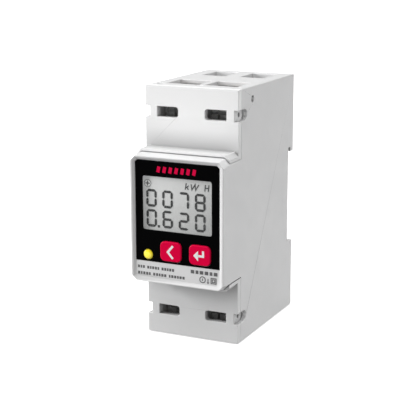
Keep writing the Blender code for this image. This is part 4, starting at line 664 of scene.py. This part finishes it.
# Helix x = r cos, y = r sin, z rising evenly; the wire's ring stands on the outward and the rising direction
spring = {"radius": 1.4, "wire": 0.2, "turns": 7, "stations": 281, "sides": 10, "keep": 0.517}
springLow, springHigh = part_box("clip_spring")
springMiddle = (springLow + springHigh) / 2 / mm
springAngle = np.linspace(0.0, 2 * math.pi * spring["turns"], spring["stations"])
outwardWay = np.column_stack((np.cos(springAngle), np.sin(springAngle), np.zeros(spring["stations"])))
lowEnd, highEnd = springLow.z / mm + spring["wire"], springHigh.z / mm - spring["wire"]
coilZ = np.linspace(lowEnd, highEnd, spring["stations"])
coil = spring["radius"] * outwardWay + np.column_stack((np.full(spring["stations"], springMiddle.x),
                                                        np.full(spring["stations"], springMiddle.y), coilZ))
wireAngle = np.linspace(0.0, 2 * math.pi, spring["sides"], endpoint=False)
wireRing = (outwardWay[:, None, :] * np.cos(wireAngle)[None, :, None]
            + np.array((0.0, 0.0, 1.0)) * np.sin(wireAngle)[None, :, None]) * spring["wire"]
springPoints = (coil[:, None, :] + wireRing).reshape(-1, 3)
wire = pieceFrom("clip_spring_wire", [(springPoints, ringFaces(spring["stations"], spring["sides"], False))],
                 "springSteel", "meter", smooth=True)
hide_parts("clip_spring")
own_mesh(wire)
print("light pipe and spring made")

studio = {"floorHalf": 6.0, "floorCells": 4, "floorGap": 0.3, "floorTone": (0.9, 0.9, 0.9), "floorGlow": 0.5,
          "skyLow": 0.03, "skyHigh": 1.7, "skyFrom": 0.58, "skyTo": 0.8,
          "sideHigh": 0.66, "sideFrom": 0.2, "sideTo": 1.0,
          "keyAt": (-0.975, -0.485, 0.229), "keySize": 0.6, "keyPower": 14.6}
floorHeight = cadLow.z - studio["floorGap"] * mm
corners = studio["floorCells"] + 1
spread = np.linspace(-studio["floorHalf"], studio["floorHalf"], corners)
floorX, floorY = np.meshgrid(spread, spread, indexing="ij")
floorPoints = np.stack((floorX, floorY, np.full_like(floorX, floorHeight)), axis=2).reshape(-1, 3)
cell = np.arange(studio["floorCells"])
cellStart = (cell[:, None] * corners + cell[None, :]).ravel()
floorFaces = np.column_stack((cellStart, cellStart + corners, cellStart + corners + 1, cellStart + 1))
floorMesh = bpy.data.meshes.new("studio_floor")
floorMesh.from_pydata(floorPoints.tolist(), [], floorFaces.tolist())
floor = bpy.data.objects.new("studio_floor", floorMesh)
bpy.context.scene.collection.objects.link(floor)
floorPaint = finish("floorPaper", {"colour": studio["floorTone"], "tint": (0.88, 0.88, 0.88), "roughness": (0.8, 0.9),
                                   "blotch": 6.0, "grainDepth": 0.01,
                                   "shader": {"Emission Color": (1, 1, 1, 1), "Emission Strength": studio["floorGlow"],
                                              "Specular IOR Level": 0.1}})
floorMesh.materials.append(floorPaint)
floor.visible_diffuse = False  # the floor throws no light back at the object, and casts no shadow
floor.visible_shadow = False

world = bpy.data.worlds.new("studio")
bpy.context.scene.world = world
world.use_nodes = True
skyTree = world.node_tree
skyWay = addNode(skyTree, "ShaderNodeTexCoord", {}).outputs["Generated"]
skyParts = addNode(skyTree, "ShaderNodeSeparateXYZ", {"Vector": skyWay}).outputs
overheadGlow = rangeOf(skyTree, skyParts["Z"], studio["skyLow"], studio["skyHigh"], studio["skyFrom"], studio["skyTo"])
sideGlow = rangeOf(skyTree, skyParts["X"], 0.0, studio["sideHigh"], studio["sideFrom"], studio["sideTo"])
skyGlow = addNode(skyTree, "ShaderNodeMath", {0: overheadGlow, 1: sideGlow}, operation="ADD").outputs[0]
skyTree.nodes["Background"].inputs[0].default_value = (1, 1, 1, 1)
skyTree.links.new(skyGlow, skyTree.nodes["Background"].inputs[1])
objectMiddle = (cadLow + cadHigh) / 2


def softbox(name, place, size, power):
    light = bpy.data.lights.new(name, "AREA")
    light.size = size
    light.energy = power
    lamp = bpy.data.objects.new(name, light)
    lamp.location = place
    lamp.rotation_euler = (objectMiddle - Vector(place)).to_track_quat("-Z", "Y").to_euler()
    bpy.context.scene.collection.objects.link(lamp)


softbox("key_softbox", studio["keyAt"], studio["keySize"], studio["keyPower"])

eye = {"azimuth": 25.18, "elevation": 13.43, "roll": -0.07, "place": (0.17498, -0.40424, 0.09692), "lens": 98.95,
       "sensor": 36.0}
camera = bpy.data.cameras.new("camera")
camera.lens = eye["lens"]
camera.sensor_width = eye["sensor"]
cameraObject = bpy.data.objects.new("camera", camera)
turn, lift = math.radians(eye["azimuth"]), math.radians(eye["elevation"])
backWay = Vector((math.sin(turn) * math.cos(lift), -math.cos(turn) * math.cos(lift), math.sin(lift)))
rightWay = Vector((math.cos(turn), math.sin(turn), 0.0))
upWay = backWay.cross(rightWay)
facing = Matrix((rightWay, upWay, backWay)).transposed() @ Matrix.Rotation(math.radians(eye["roll"]), 3, "Z")
cameraObject.matrix_world = Matrix.Translation(eye["place"]) @ facing.to_4x4()
bpy.context.scene.collection.objects.link(cameraObject)
bpy.context.scene.camera = cameraObject
bpy.context.scene.view_settings.view_transform = "Standard"
print("floor, lights and camera placed")
